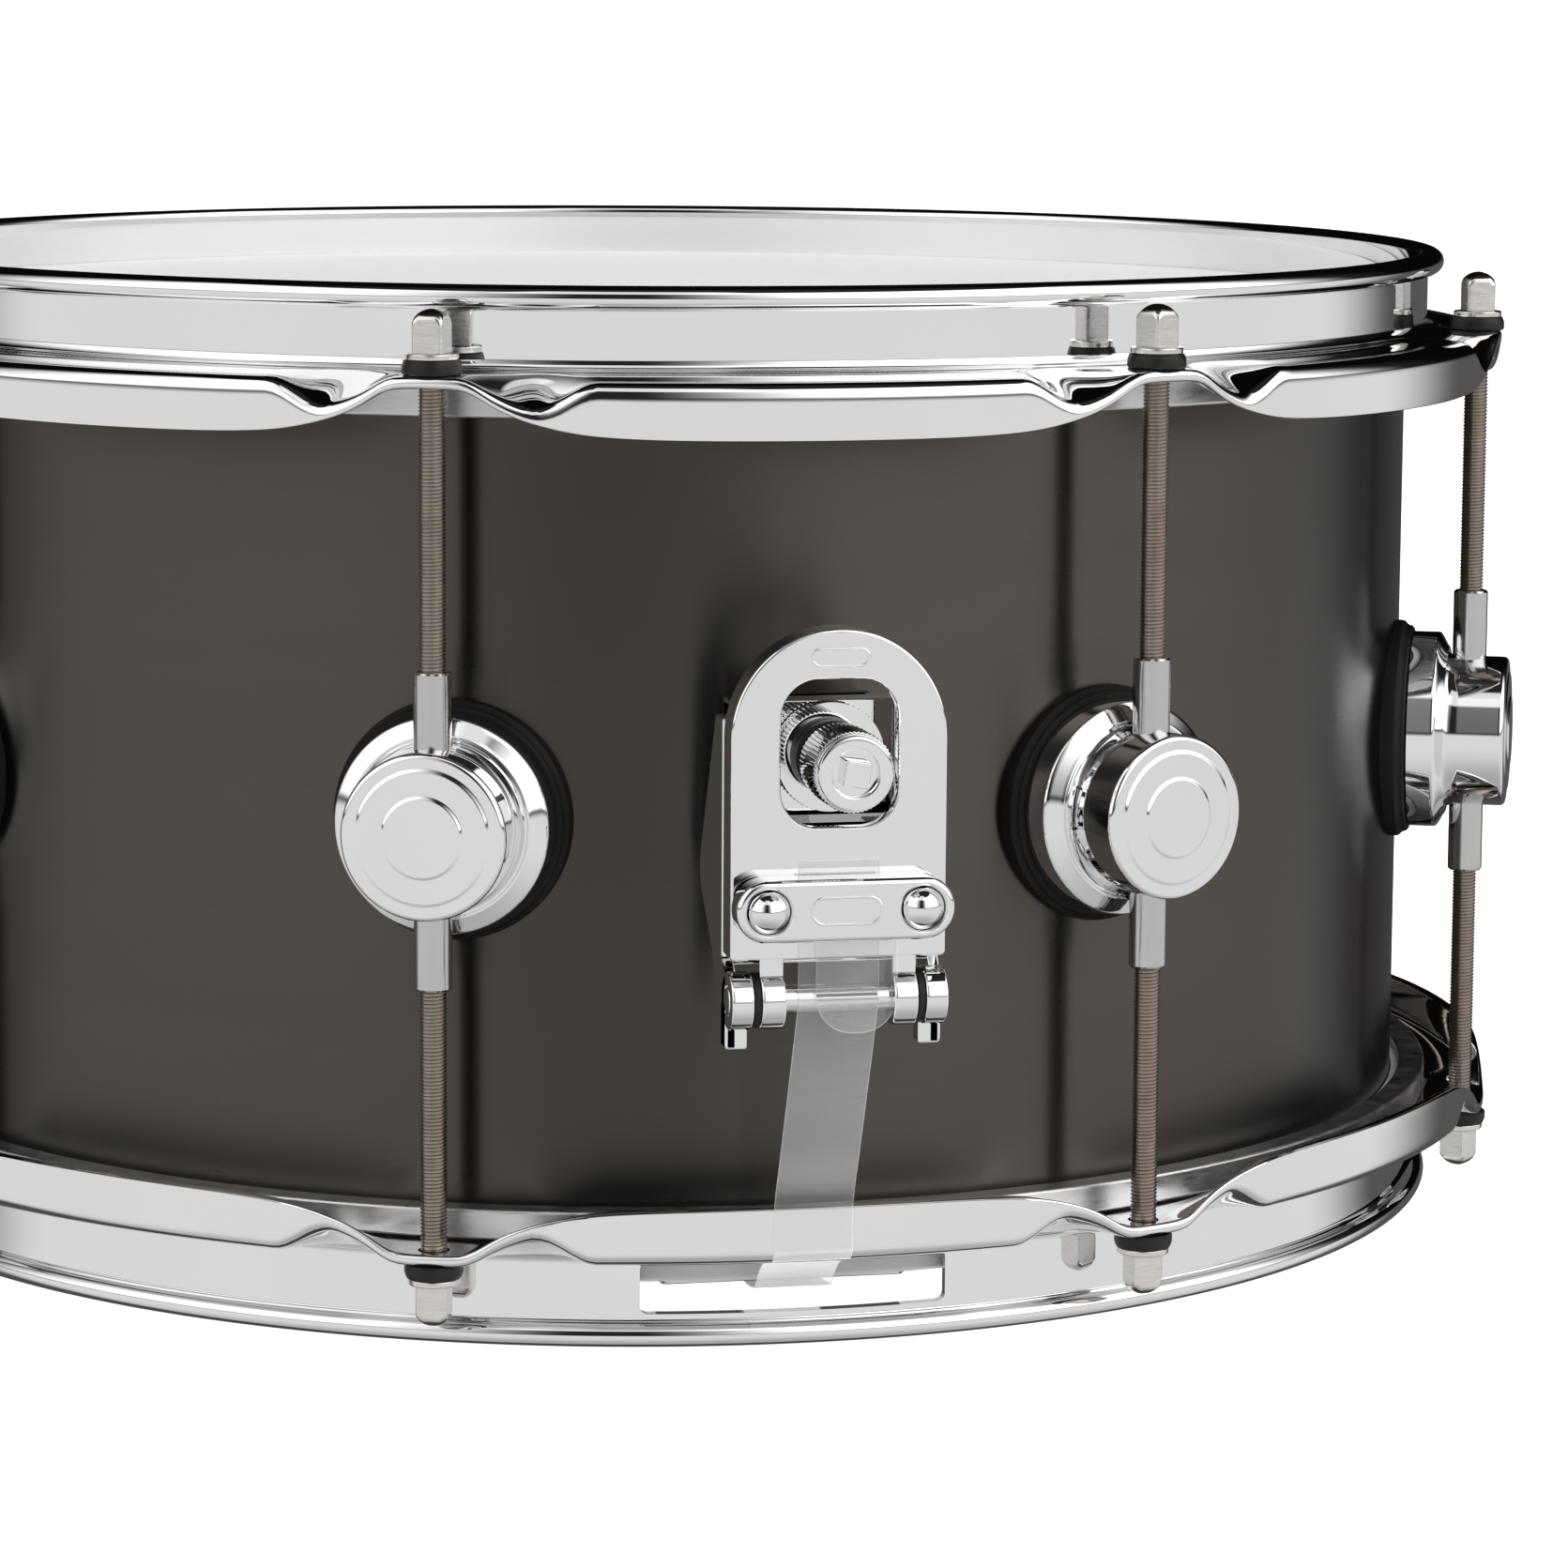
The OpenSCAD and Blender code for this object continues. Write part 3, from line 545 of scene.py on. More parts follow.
def build_hoops():
    upper = hoop_mesh(TOP_RISE, move(z=DRUM_H))
    top = piece("batter_rim", upper, CHROME, "top_hoop", "chrome", "top_hoop")
    holes = Mesh()
    rod_holes(holes, DRUM_H - TOP_RISE - 2)
    cut(top, holes)
    lower = hoop_mesh(BOTTOM_RISE, turn(180, "X"))
    low = piece("snare_rim", lower, CHROME, "bottom_hoop", "chrome", "bottom_hoop")
    gates = Mesh()
    rod_holes(gates, BOTTOM_RISE)
    for angle in (0, 180):
        gate = outline(GATE_W, GATE_H, GATE_CORNER)
        slab(gates, gate, 160, 176, place=turn(angle) @ outward(GATE_Z))
    cut(low, gates)


# ---------------------------------------------------------------- lugs
def lug_profile():
    """Stepped, round-edged turret on a bevelled base, as (radius, distance from the drum's axis)."""
    return [
        (0, 168.5), (20.2, 168.5), (20.7, 168.9), (20.7, 173.7), *arc(19.9, 173.9, 0.8, 0, 50, 5),
        (19.8, 174.95), (18.2, 175.8), *arc(17.3, 175.55, 0.75, 62, 110, 4), (16.9, 176.1),
        (16.55, 176.15), (16.2, 176.5), (16.0, 177.2), (15.85, 178.2), (15.8, 179.2),
        (15.8, 187.6), *arc(14.7, 187.7, 1.1, 0, 88, 8), (13.1, 188.8), (12.9, 188.84),
        (12.5, 189.12), (12.2, 189.2), (8.0, 189.2), (7.8, 189.24), (7.45, 189.52), (7.2, 189.6), (0, 189.6),
    ]


def build_lugs():
    gasket, base, gear = Mesh(), Mesh(), Mesh()
    for angle in LUG_ANGLES:
        at = turn(angle) @ outward(LUG_Z)
        gasket.lathe([(0, 162.9), (22.8, 162.9), (23.0, 163.4), (23.0, 166.0), (22.85, 166.6), (22.2, 167.2),
                      (21.95, 167.7), (21.9, 168.1), (21.5, 168.5), (0, 168.5)], 96, at, closed=False)
        base.lathe(lug_profile(), 144, at, closed=False)
        for side in (0, 180):
            gear.lathe([(3.6, 5), (3.6, 29.5), (3.3, 29.9), (2.9, 30), (2.6, 29.8), (2.55, 29.4), (2.55, 5)],
                       48, turn(angle) @ move(y=-ROD_CIRCLE, z=LUG_Z) @ turn(side, "X"))
    piece("lug_seats", gasket, RUBBER, "drum", "gasket_rubber", "lug_gaskets")
    piece("lug_turrets", base, CHROME, "drum", "chrome", "lug_housings")
    piece("lug_tubes", gear, SLEEVE, "drum", "brushed_steel", "lug_sleeves")
    screws, washers = Mesh(), Mesh()
    for angle in LUG_ANGLES:
        at = turn(angle) @ outward(LUG_Z)
        screws.lathe(rod_profile(4.5, 158.6, 161.6, 0.6), 32, at, closed=False)
        washers.lathe(ring_profile(2.6, 6.5, 161.6, 163.2), 40, at)
    piece("lug_bolts", screws, KEY, "drum", "brushed_steel", "lug_screws")
    piece("lug_rings", washers, SLEEVE, "drum", "brushed_steel", "lug_washers")


# ---------------------------------------------------------------- rods and washers
def key_head(mesh, z0, place=None):
    """Square key head with softened upright edges and a domed top."""
    half, height, dome = 2.98, 8.1, 4.4
    levels = 18
    loops = []
    base = outline(2 * half, 2 * half, 0.55, 5)
    for i in range(levels + 1):
        z = height * (1 - (1 - i / levels) ** 1.5)
        drop = max(0.0, z - (height - dome))
        reach = math.sqrt(max(0.0, dome * dome - drop * drop))
        loop = []
        for x, y, _, _ in base:
            length = math.hypot(x, y)
            scale = min(1.0, max(0.35, reach) / length)
            loop.append((x * scale, y * scale, z0 + z))
        loops.append(loop)
    return mesh.loft(loops, place)


def helix_ridge(mesh, root, crest, pitch, z0, z1, steps=20):
    """Raised thread: a thin closed ridge wound round a core."""
    turns = (z1 - z0) / pitch
    count = int(turns * steps)
    rings = []
    for i in range(count + 1):
        a = 2 * math.pi * i / steps
        z = z0 + pitch * i / steps
        rings.append([(r * math.cos(a), r * math.sin(a), z + dz)
                      for r, dz in ((root - 0.1, -0.22), (crest, -0.04), (crest, 0.04), (root - 0.1, 0.22))])
    return mesh.loft(rings)


def build_rods():
    seat = TOP_RISE - ROD_SEAT
    length = DRUM_H - seat - MID_Z - 6
    key = Mesh()
    key_head(key, 0.05)
    thread = Mesh().lathe(rod_profile(2.3, -length, 1.0), 32, closed=False)
    thread.lathe(rod_profile(2.45, -5.0, 0.9), 32, closed=False)
    helix_ridge(thread, 2.3, 2.55, 0.7, 0.6 - length, -5.2)
    rod_data = thread.build("rod_thread", 50)
    rod_data.materials.append(ROD)
    key_data = key.build("rod_key", 32)
    key_data.materials.append(KEY)
    seats = {"top": DRUM_H - seat, "bottom": BOTTOM_RISE - ROD_SEAT}
    for k, angle in enumerate(LUG_ANGLES, 1):
        for side, z in seats.items():
            body = f"{side}_rod_{k}"
            flip = 180 if side == "bottom" else 0
            spin = (k * 37 + (11 if flip else 0)) % 90
            spin = {1: 8, 8: -6, 2: 20}.get(k, spin) + (5 if flip else 0)
            at = turn(angle) @ move(y=-ROD_CIRCLE, z=z) @ turn(flip, "X") @ turn(spin)
            piece(f"{side}_thread_{k}", rod_data, ROD, body, "rod_steel", body, place=at)
            piece(f"{side}_key_{k}", key_data, KEY, body, "brushed_steel", place=at)


def build_washers():
    for side, ear, sign in (("top", DRUM_H - TOP_RISE, 1), ("bottom", BOTTOM_RISE, -1)):
        steel, nylon = Mesh(), Mesh()
        for angle in LUG_ANGLES:
            at = turn(angle) @ move(y=-ROD_CIRCLE, z=ear) @ turn(0 if sign > 0 else 180, "X")
            nylon.lathe([(2.6, 0), (5.3, 0), (5.6, 0.3), (5.6, 1.6), (5.4, 2.2), (5.2, 2.7), (2.6, 2.7)],
                        48, at)
            steel.lathe(ring_profile(2.6, 5.0, 2.7, 4.0, 0.3), 48, at)
        piece(f"{side}_black_rings", nylon, NYLON, f"{side}_hoop", "black_nylon", f"{side}_nylon_washers")
        piece(f"{side}_bright_rings", steel, KEY, f"{side}_hoop", "brushed_steel", f"{side}_steel_washers")


# ---------------------------------------------------------------- throw-off
def dome_screw(mesh, seat, x, z, radius=3.75):
    """Round-headed screw: a dome on a short collar, outward from its seat."""
    profile = [(0, seat - 3), (1.7, seat - 3), (1.7, seat), (radius - 0.2, seat), (radius, seat + 0.25)]
    ball = 3.95
    centre = seat - 1.35
    low = math.degrees(math.asin(1.75 / ball))
    profile += [(r, d + centre) for r, d in arc(0, 0, ball, low, 88, 10)]
    profile.append((0, centre + ball))
    return mesh.lathe(profile, 48, outward(z, x), closed=False)


def clamp_points():
    return outline(CLAMP_W, CLAMP_H, CLAMP_H / 2 - 0.01, 16)


def clamp_ornament(mesh, depth, place, w=15.0, h=4.6, wall=0.5):
    """Plain raised oval where a maker would put a mark."""
    outer = outline(w, h, h / 2 - 0.01, 10)
    inner = outline(w - 2 * wall, h - 2 * wall, h / 2 - wall - 0.01, 10)
    return slab(mesh, outer, depth - 0.2, depth + 0.22, 0.15, place, [inner], 0.05)


def clamp_steps(back):
    """(inset, depth) steps of the clamp bar's side, with a rolled rim round a slightly sunk face."""
    front = back + CLAMP_T
    steps = [(0.5, back), (0.1, back + 0.2), (0, back + 0.6), (0, front - 1.2)]
    steps += [(1.1 * (1 - math.cos(t)), front - 1.2 + 1.2 * math.sin(t)) for t in
              (math.pi / 2 * i / 8 for i in range(1, 9))]
    return steps


def clamp_bar(mesh, back, place):
    """Bar with two sunk rings round its screws."""
    front = back + CLAMP_T
    hole = [(0, back), (0, front - 0.9), (0.35, front - 0.7), (0.6, front - 0.2), (0.9, front)]
    sunk = []
    for x in (-CLAMP_SCREW_X, CLAMP_SCREW_X):
        ring = [(x + p, q, nx, ny) for p, q, nx, ny in outline(7.2, 7.2, 3.59, 12)]
        sunk.append(rings_of(ring, [(-i, d) for i, d in hole]))
    mesh.plate(rings_of(clamp_points(), clamp_steps(back)), sunk, place)
    for x in (-CLAMP_SCREW_X, CLAMP_SCREW_X):
        mesh.lathe(rod_profile(3.7, back + 0.4, front - 1.0, 0.1), 48, place @ move(x), closed=False)
    return mesh


def build_lever():
    lever = Mesh()
    front, back, skin = LEVER_R, LEVER_R - LEVER_DEPTH, 2.4
    points = arch_outline(LEVER_W / 2, LEVER_LOW, LEVER_TOP, 1.0)
    round_edge = [(0.55 * (1 - math.cos(t)), front - 0.55 + 0.55 * math.sin(t))
                  for t in (math.pi / 2 * i / 5 for i in range(6))]
    steps = [(2.0, front - skin), (2.0, back + 0.2), (1.8, back), (0.3, back), (0, back + 0.3), *round_edge]
    mid = (WINDOW_LOW + WINDOW_TOP) / 2
    opening = outline(WINDOW_W, WINDOW_TOP - WINDOW_LOW, WINDOW_CORNER, 14)
    window = [(x, y + mid, nx, ny) for x, y, nx, ny in opening]
    soft = 0.45
    hole = [(0, front - skin), (0, front - soft)]
    hole += [(-soft * (1 - math.cos(t)), front - soft + soft * math.sin(t))
             for t in (math.pi / 2 * i / 4 for i in range(1, 5))]
    lever.plate(rings_of(points, steps), [rings_of(window, hole)], outward())
    for side in (-1, 1):
        low, high = sorted((side * KNUCKLE_IN[0], side * KNUCKLE_IN[1]))
        knuckle(lever, low, high)
        slab(lever, outline(high - low, 11.5, 0.4, 3), back + 0.8, front - 0.05, 0.4,
             outward(77.9, (low + high) / 2))
    clamp_ornament(lever, front, outward(135.7), 11.0, 3.6)
    piece("lever_plate", lever, CHROME, "lever", "chrome", "lever")
    clamp_back = front + CLAMP_GAP
    bar = clamp_bar(Mesh(), clamp_back, outward(CLAMP_Z))
    clamp_ornament(bar, clamp_back + CLAMP_T, outward(CLAMP_Z), 13.5, 5.4)
    piece("clamp_bar", bar, CHROME, "lever", "chrome", "clamp_plate")
    screws = Mesh()
    for x in (-CLAMP_SCREW_X, CLAMP_SCREW_X):
        dome_screw(screws, clamp_back + CLAMP_T - 0.6, x, CLAMP_Z)
    piece("clamp_domes", screws, CHROME, "lever", "chrome", "clamp_screws")


def knuckle(mesh, x0, x1, r=5.4):
    """Barrel along X on the hinge axis."""
    at = move(x0, -HINGE_R, HINGE_Z) @ turn(90, "Y")
    return mesh.lathe(ring_profile(2.62, r, 0, x1 - x0, 0.5, 4), 64, at)


def build_carriage():
    body = Mesh()
    slab(body, outline(27, 26.8, 1.2, 4), 174, 190.6, 0.5, outward(101.9))
    slab(body, outline(27.0, 6.0, 1.0, 8), 103.4, 126.5, 0.3, move(y=-CARRIAGE_FACE), back_bevel=1.8)
    slab(body, outline(38.4, 27.0, 0.6, 4), 186, CARRIAGE_FACE, 0.4, outward(90.5))
    cheek = [(190, 124), (196.4, 124), (196.4, 80), (200, 76), (200, 63.6), (199.6, 63.2), (196.4, 63.2),
             (196, 63.6), (195.6, 67), (187, 80), (176, 90), (175.2, 93), (175.8, 96)]
    mid_r, mid_z = 190, 98
    for side in (-1, 1):
        rings = [[(side * x, -(mid_r + (r - mid_r) * s), mid_z + (z - mid_z) * s) for r, z in cheek]
                 for x, s in ((18.2, 0.985), (18.4, 1.0), (19.9, 1.0), (20.2, 0.985))]
        body.loft(rings)
        low, high = sorted((side * KNUCKLE_OUT[0], side * KNUCKLE_OUT[1]))
        knuckle(body, low, high)
        slab(body, outline(high - low, 9.0, 0.6, 3), 196, 200, 0.5, outward(67.7, (low + high) / 2))
    piece("carriage_body", body, CHROME, "carriage", "chrome", "carriage")
    at = move(0, -HINGE_R, HINGE_Z) @ turn(90, "Y")
    pin = Mesh().lathe(rod_profile(PIN_R, -PIN_HALF, PIN_HALF, 0.4), 48, at, closed=False)
    piece("hinge_bar", pin, CHROME, "carriage", "chrome", "hinge_pin")
    rings = Mesh()
    for side in (-1, 1):
        rings.lathe(ring_profile(2.65, 5.1, -0.6, 0.6, 0.15), 48,
                    move(side * 15.3, -HINGE_R, HINGE_Z) @ turn(90, "Y"))
    piece("hinge_rings", rings, NYLON, "carriage", "black_nylon", "hinge_washers")


def knurl(mesh, radius, z0, z1, teeth, depth=0.22, edge=0.5, place=None):
    """Fluted round with smooth chamfered ends."""
    steps = teeth * 4
    levels = [(edge, z0, 0), (0.12, z0 + edge, 0.4), (0, z0 + edge + 0.25, 1), (0, z1 - edge - 0.25, 1),
              (0.12, z1 - edge, 0.4), (edge, z1, 0)]
    rings = []
    for inset, z, share in levels:
        ring = []
        for j in range(steps):
            a = 2 * math.pi * j / steps
            r = radius - inset - depth * share * (0.5 - 0.5 * math.cos(a * teeth))
            ring.append((r * math.cos(a), r * math.sin(a), z))
        rings.append(ring)
    return mesh.loft(rings, place)


def build_knob():
    at = outward(KNOB_Z)
    knob = Mesh()
    knurl(knob, 7.5, 203.0, 216.0, 56, 0.3, 0.35, place=at)
    knob.lathe([(0, 199.9), (6.2, 199.9), (6.5, 200.2), (6.5, 203.4), (0, 203.4)], 64, at, closed=False)
    knob.lathe([(4.3, 216.0), (4.3, 217.0), (4.45, 217.35), (4.75, 217.5), (6.2, 217.5), (6.7, 217.35),
                (7.0, 216.9), (7.1, 216.0)], 72, at)
    stud = [[(x * k, y * k, depth) for x, y, _, _ in outline(4.8, 4.8, 0.3, 3)]
            for k, depth in ((1, 215.9), (1, 218.6), (0.95, 218.8), (0.9, 218.85))]
    knob.loft(stud, at @ turn(-8))
    knob.lathe(rod_profile(2.5, 187.5, 200.2), 32, at, closed=False)
    piece("tension_knob_body", knob, CHROME, "knob", "chrome", "tension_knob")
    wheel = Mesh()
    knurl(wheel, 10.2, 193.0, 196.4, 72, 0.3, 0.12, at)
    piece("adjuster_disc", wheel, CHROME, "knob", "chrome", "adjuster_wheel")
    # Painted shade: a black ring fills the gap between the wheel and the knob body, standing in for the
    # shade that falls on the wheel face round the knob's foot.
    collar = Mesh().lathe(rod_profile(7.1, 196.3, 199.6, 0.4), 64, at, closed=False)
    piece("knob_foot_painted_shade_ring", collar, NYLON, "knob", "black_nylon")


def build_strainer_base():
    base = Mesh()
    for z in (BASE_TOP - 2, BASE_LOW + 2):
        slab(base, outline(BASE_W, 4, 0.6, 3), BASE_BACK - 0.1, 186, 0.4, outward(z))
    mid = (BASE_LOW + BASE_TOP) / 2
    slab(base, outline(BASE_W, BASE_TOP - BASE_LOW, 1.0, 4), BASE_BACK, 173, 0.4, outward(mid))
    piece("strainer_block", base, CHROME, "drum", "chrome", "strainer_base")
    guides = Mesh()
    for x in (-GUIDE_X, GUIDE_X):
        post = rod_profile(GUIDE_R, BASE_LOW, BASE_TOP)
        guides.lathe(post, 32, move(x, -GUIDE_CIRCLE), closed=False)
    piece("guide_posts", guides, SLEEVE, "drum", "brushed_steel", "guide_rods")


def curved_pad(mesh, w, z0, z1, inner, outer, place=None):
    """Pad that follows the shell's curve."""
    rings = []
    half = math.degrees(w / 2 / inner)
    for z, inset in ((z0, 0.25), (z0 + 0.25, 0), (z1 - 0.25, 0), (z1, 0.25)):
        ring = []
        for r, sweep in ((outer - inset, range(25)), (inner, range(24, -1, -1))):
            for i in sweep:
                a = math.radians(-half + 2 * half * i / 24)
                ring.append((r * math.sin(a), -r * math.cos(a), z))
        rings.append(ring)
    return mesh.loft(rings, place)


def build_pads_and_screws():
    back = turn(180)
    front_pad = curved_pad(Mesh(), BASE_W, BASE_LOW, BASE_TOP, SHELL_R, PAD_OUT)
    piece("strainer_pad", front_pad, RUBBER, "drum", "gasket_rubber", "strainer_gasket")
    rear_pad = curved_pad(Mesh(), 30, BUTT_Z - 20, BUTT_Z + 20, SHELL_R, PAD_OUT, back)
    piece("butt_pad", rear_pad, RUBBER, "drum", "gasket_rubber", "butt_gasket")
    for name, heights, place, node in (("strainer_bolts", (90, 114), None, "strainer_screws"),
                                       ("butt_bolts", (76, 94), back, "butt_screws")):
        screws = Mesh()
        for z in heights:
            at = (place or Matrix.Identity(4)) @ outward(z)
            screws.lathe([(0, 160.7), (3.6, 160.7), (4.5, 161.6), (4.5, 163.3), (2.2, 163.3), (2.2, 172.2),
                          (0, 172.2)], 32, at, closed=False)
        piece(name, screws, KEY, "drum", "brushed_steel", node)


def build_butt():
    back = turn(180)
    plate = Mesh()
    slab(plate, outline(30, 40, 5, 8), 166.0, BUTT_FACE, 0.7, back @ outward(BUTT_Z))
    slab(plate, clamp_points(), 182, 186.2, 0.7, back @ outward(CLAMP_Z))
    piece("butt_block", plate, CHROME, "drum", "chrome", "butt_plate")
    bar_back = BUTT_FACE + 0.6
    bar = clamp_bar(Mesh(), bar_back, back @ outward(CLAMP_Z))
    piece("butt_bar", bar, CHROME, "drum", "chrome", "butt_clamp")
    screws = Mesh()
    for x in (-CLAMP_SCREW_X, CLAMP_SCREW_X):
        one = Mesh()
        dome_screw(one, bar_back + CLAMP_T - 0.6, x, CLAMP_Z)
        screws.add(one.verts, one.faces, back)
    piece("butt_domes", screws, CHROME, "drum", "chrome", "butt_clamp_screws")


# ---------------------------------------------------------------- straps and snares
def ribbon(mesh, path, width, thick, place=None, sub=4):
    """Band along a path of (distance from the axis, z), centred on X."""
    line = spline(path, sub)
    rings = []
    for i, (r, z) in enumerate(line):
        a, b = line[max(i - 1, 0)], line[min(i + 1, len(line) - 1)]
        d = Vector((b[0] - a[0], b[1] - a[1])).normalized()
        nr, nz = -d.y * thick / 2, d.x * thick / 2
        half, near = width / 2, width / 2 - 0.1
        ring = [(x, -(r + s * nr), z + s * nz) for x, s in
                ((-half, 0.4), (-near, 1), (0, 1), (near, 1), (half, 0.4),
                 (half, -0.4), (near, -1), (0, -1), (-near, -1), (-half, -0.4))]
        rings.append(ring)
    return mesh.loft(rings, place)


STRAP_RUN = [(184.9, 30.5), (184.9, 22.5), (184.6, 21.0), (183.3, 19.4), (181, 18.6), (175, 16.9),
             (170.2, 13.8), (167.4, 10.9), (165.6, 10.0), (159, 9.1), (148, 9.1)]


def build_straps():
    front = LEVER_R + 0.3
    upper = Mesh()
    run = [(front, 98.6), (front, 92), (front, 84), (front, 76.7), (front + 0.15, HINGE_Z)]
    ribbon(upper, run, STRAP_W, STRAP_T)
    tail = [(x + TAIL_X, y + TAIL_Z, nx, ny)
            for x, y, nx, ny in outline(TAIL_W, TAIL_H, TAIL_CORNER, 12)]
    slab(upper, tail, LEVER_R + 0.75, LEVER_R + 1.15, 0.32, outward(), back_bevel=0.05)
    piece("strap_upper", upper, CLEAR, "lever", "clear_strap")
    lower = Mesh()
    ribbon(lower, [(front + 0.15, HINGE_Z), (203.7, 70.9), (199.8, 62.2), (194.4, 50.7), (189.6, 40.5),
                   *STRAP_RUN], STRAP_W, STRAP_T)
    obj = piece("strap_lower", lower, CLEAR, None, "clear_strap", "snare_strap")
    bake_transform(obj)
    rear = Mesh()
    run = [(186.3, 96.8), (186.3, 84), (186.3, 60), (185.9, 48), *STRAP_RUN]
    ribbon(rear, run, STRAP_W, STRAP_T, turn(180))
    piece("strap_rear", rear, CLEAR, "snares", "clear_strap", "butt_strap")


def build_snares():
    wires = Mesh()
    z = EDGE_LOW - 0.4 - 0.4 - 0.6
    turns, steps = 200, 8
    for k in range(WIRES):
        x = (k - (WIRES - 1) / 2) * WIRE_STEP
        rings = []
        for i in range(turns * steps + 1):
            t = i / (turns * steps)
            a = 2 * math.pi * i / steps
            y = (2 * t - 1) * SNARE_RUN
            cx, cz = x + COIL_R * math.cos(a), z + COIL_R * math.sin(a)
            rings.append([
                (cx + WIRE_R * math.cos(a + q) * math.cos(q), y + WIRE_R * math.sin(q),
                 cz + WIRE_R * math.sin(a) * math.cos(q))
                for q in (0, math.pi / 2, math.pi, 3 * math.pi / 2)
            ])
        wires.loft(rings)
    piece("snare_coils", wires, WIRE, "snares", "snare_steel", "snare_wires", sharp=80)
    plates = Mesh()
    for side in (0, 180):
        slab(plates, outline(48, 12, 1.5, 6), z - 0.8, z + 0.8, 0.3, turn(side) @ move(y=-152))
    piece("snare_plates", plates, KEY, "snares", "snare_steel", "snare_end_plates")


for make in (build_shell, build_heads, build_hoops, build_lugs, build_rods, build_washers, build_lever,
             build_carriage, build_knob, build_strainer_base, build_pads_and_screws, build_butt,
             build_straps, build_snares):
    make()


# ---------------------------------------------------------------- studio
def world_light():
    """Soft studio: bright below the horizon, dark above it, with two side lights and one above."""
    world = bpy.data.worlds.new("studio")
    bpy.context.scene.world = world
    world.use_nodes = True
    nt = world.node_tree
    nt.nodes.clear()
    co = nt.nodes.new("ShaderNodeTexCoord")
    split = nt.nodes.new("ShaderNodeSeparateXYZ")
    nt.links.new(co.outputs["Generated"], split.inputs["Vector"])

    def maths(kind, a, b=None):
        node = nt.nodes.new("ShaderNodeMath")
        node.operation = kind
        for i, v in enumerate((a, b)):
            if isinstance(v, (int, float)):
                node.inputs[i].default_value = v
            elif v is not None:
                nt.links.new(v, node.inputs[i])
        return node.outputs["Value"]

    def step(value, low, high, at_low, at_high):
        node = nt.nodes.new("ShaderNodeMapRange")
        node.interpolation_type = "SMOOTHSTEP"
        for name, v in (("From Min", low), ("From Max", high), ("To Min", at_low), ("To Max", at_high)):
            node.inputs[name].default_value = v
        nt.links.new(value, node.inputs["Value"])
        return node.outputs["Result"]

    x, y, z = (split.outputs[n] for n in "XYZ")
    azimuth = maths("ARCTAN2", x, maths("MULTIPLY", y, -1.0))
    height = maths("ARCSINE", z)

    def lobe(centre, half, soft, low, high, edge, strength):
        """Softbox centred on an azimuth, between two heights, in degrees."""
        off = maths("ABSOLUTE", maths("SUBTRACT", azimuth, math.radians(centre)))
        across = step(off, math.radians(half), math.radians(half + soft), 1.0, 0.0)
        rise = step(height, math.radians(low - edge), math.radians(low), 0.0, 1.0)
        fall = step(height, math.radians(high), math.radians(high + edge), 1.0, 0.0)
        return maths("MULTIPLY", maths("MULTIPLY", across, maths("MULTIPLY", rise, fall)), strength)

    front = step(maths("ABSOLUTE", azimuth), math.radians(102), math.radians(128), 1.0, 0.12)
    shade_below = step(height, math.radians(-75), math.radians(-16), 0.55, 1.0)
    ground = maths("MULTIPLY", step(height, math.radians(-2.5), math.radians(2.5), 0.80, 0.02), front)
    ground = maths("MULTIPLY", ground, shade_below)
    left = lobe(-72, 20, 34, 5, 56, 4, 1.25)
    right = lobe(50, 26, 34, 5, 56, 4, 1.75)
    above = lobe(-12, 18, 9, 46, 66, 4, 0.85)
    total = maths("ADD", maths("ADD", ground, left), maths("ADD", right, above))
    shade = nt.nodes.new("ShaderNodeBackground")
    shade.inputs["Color"].default_value = (1, 1, 1, 1)
    nt.links.new(total, shade.inputs["Strength"])
    out = nt.nodes.new("ShaderNodeOutputWorld")
    nt.links.new(shade.outputs["Background"], out.inputs["Surface"])


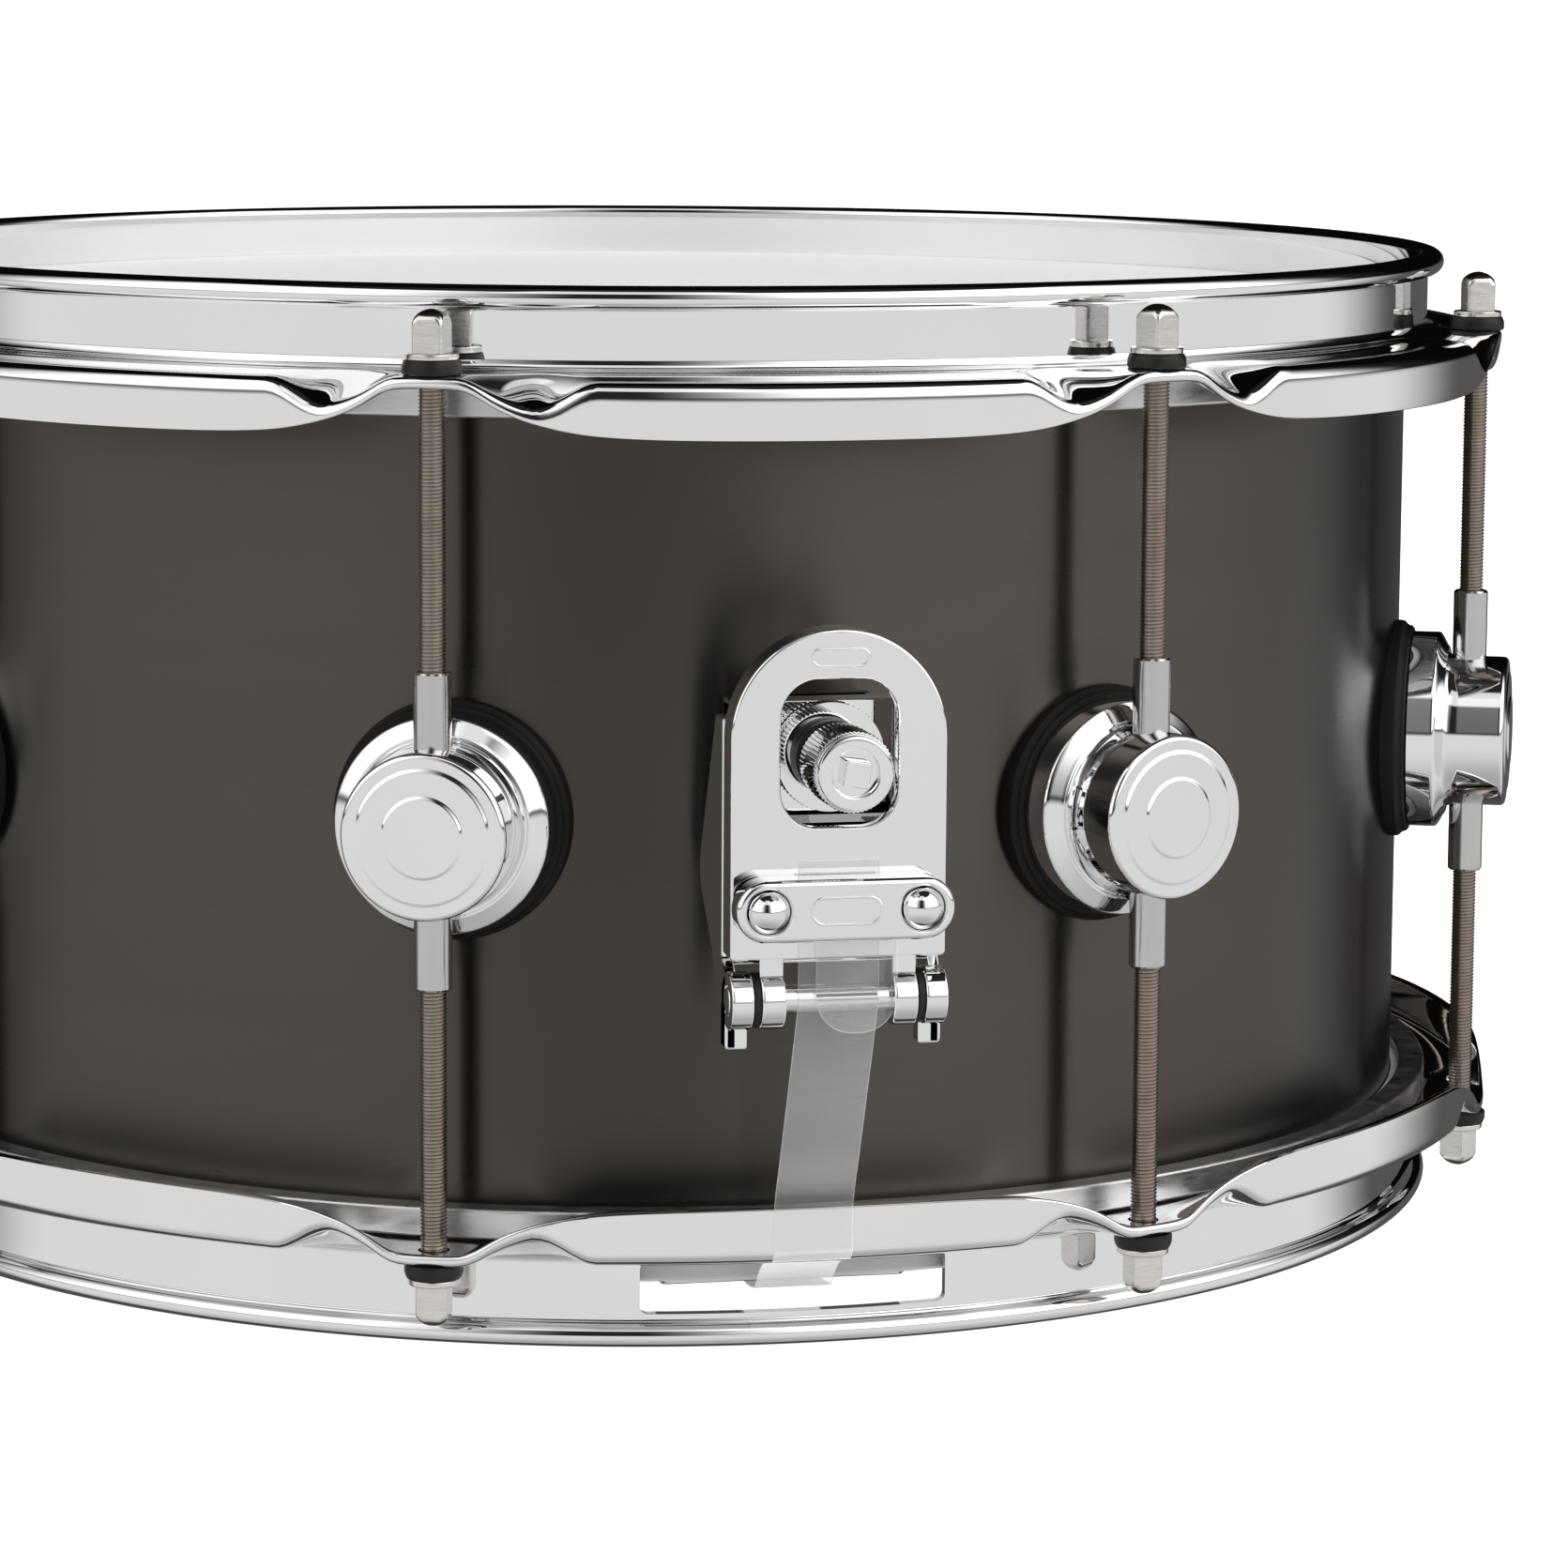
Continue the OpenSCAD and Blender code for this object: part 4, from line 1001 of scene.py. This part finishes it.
def floor():
    """Pale floor that reaches the horizon, glowing a little so that it stays even."""
    radii, low, top = (0, 400, 3000, 400000), -40, -0.4
    section = [(r, low) for r in radii] + [(r, top) for r in reversed(radii)]
    mesh = Mesh().lathe(section, 96, closed=False)
    mat, nt, out = tree("pale_floor")
    glow = nt.nodes.new("ShaderNodeEmission")
    paint = nt.nodes.new("ShaderNodeBsdfDiffuse")
    drift = noise(nt, 3, 3)
    nt.links.new(two_tone(nt, drift, (0.80, 0.80, 0.80), (0.83, 0.83, 0.83)), paint.inputs["Color"])
    glow.inputs["Strength"].default_value = 0.86
    both = nt.nodes.new("ShaderNodeAddShader")
    nt.links.new(glow.outputs["Emission"], both.inputs[0])
    nt.links.new(paint.outputs["BSDF"], both.inputs[1])
    nt.links.new(both.outputs["Shader"], out.inputs["Surface"])
    data = mesh.build("studio_floor")
    data.materials.append(mat)
    obj = bpy.data.objects.new("studio_floor", data)
    bpy.context.scene.collection.objects.link(obj)
    obj.visible_glossy = False


def softbox(name, location, target, size, power):
    light = bpy.data.lights.new(name, "AREA")
    light.shape = "RECTANGLE"
    light.size, light.size_y = size
    light.energy = power
    obj = bpy.data.objects.new(name, light)
    bpy.context.scene.collection.objects.link(obj)
    obj.location = location
    obj.rotation_euler = (Vector(target) - Vector(location)).to_track_quat("-Z", "Y").to_euler()
    obj.visible_glossy = False
    return obj


def camera():
    """Long lens a little over a metre away, looking slightly down at the throw-off."""
    swing, distance, height = -10.4417, 1.167906, 0.259372
    yaw, pitch, roll = 1.4173, 7.7922, 0.3545
    lens = bpy.data.cameras.new("camera")
    lens.sensor_width = 36.0
    lens.lens = 123.85
    lens.shift_x = 0.00994
    lens.shift_y = -0.0503
    lens.clip_start, lens.clip_end = 0.02, 1000
    obj = bpy.data.objects.new("camera", lens)
    bpy.context.scene.collection.objects.link(obj)
    aim = turn(-yaw) @ turn(90 - pitch, "X") @ turn(roll)
    obj.matrix_world = turn(swing) @ move(y=-distance, z=height) @ aim
    bpy.context.scene.camera = obj


world_light()
floor()
softbox("top_softbox", (0, -0.3, 1.6), (0, 0, 0.1), (1.6, 1.6), 14)
softbox("front_softbox", (0.2, -2.2, 1.2), (0, 0, 0.1), (1.5, 1.0), 12)
camera()
bpy.context.scene.view_settings.view_transform = "Standard"
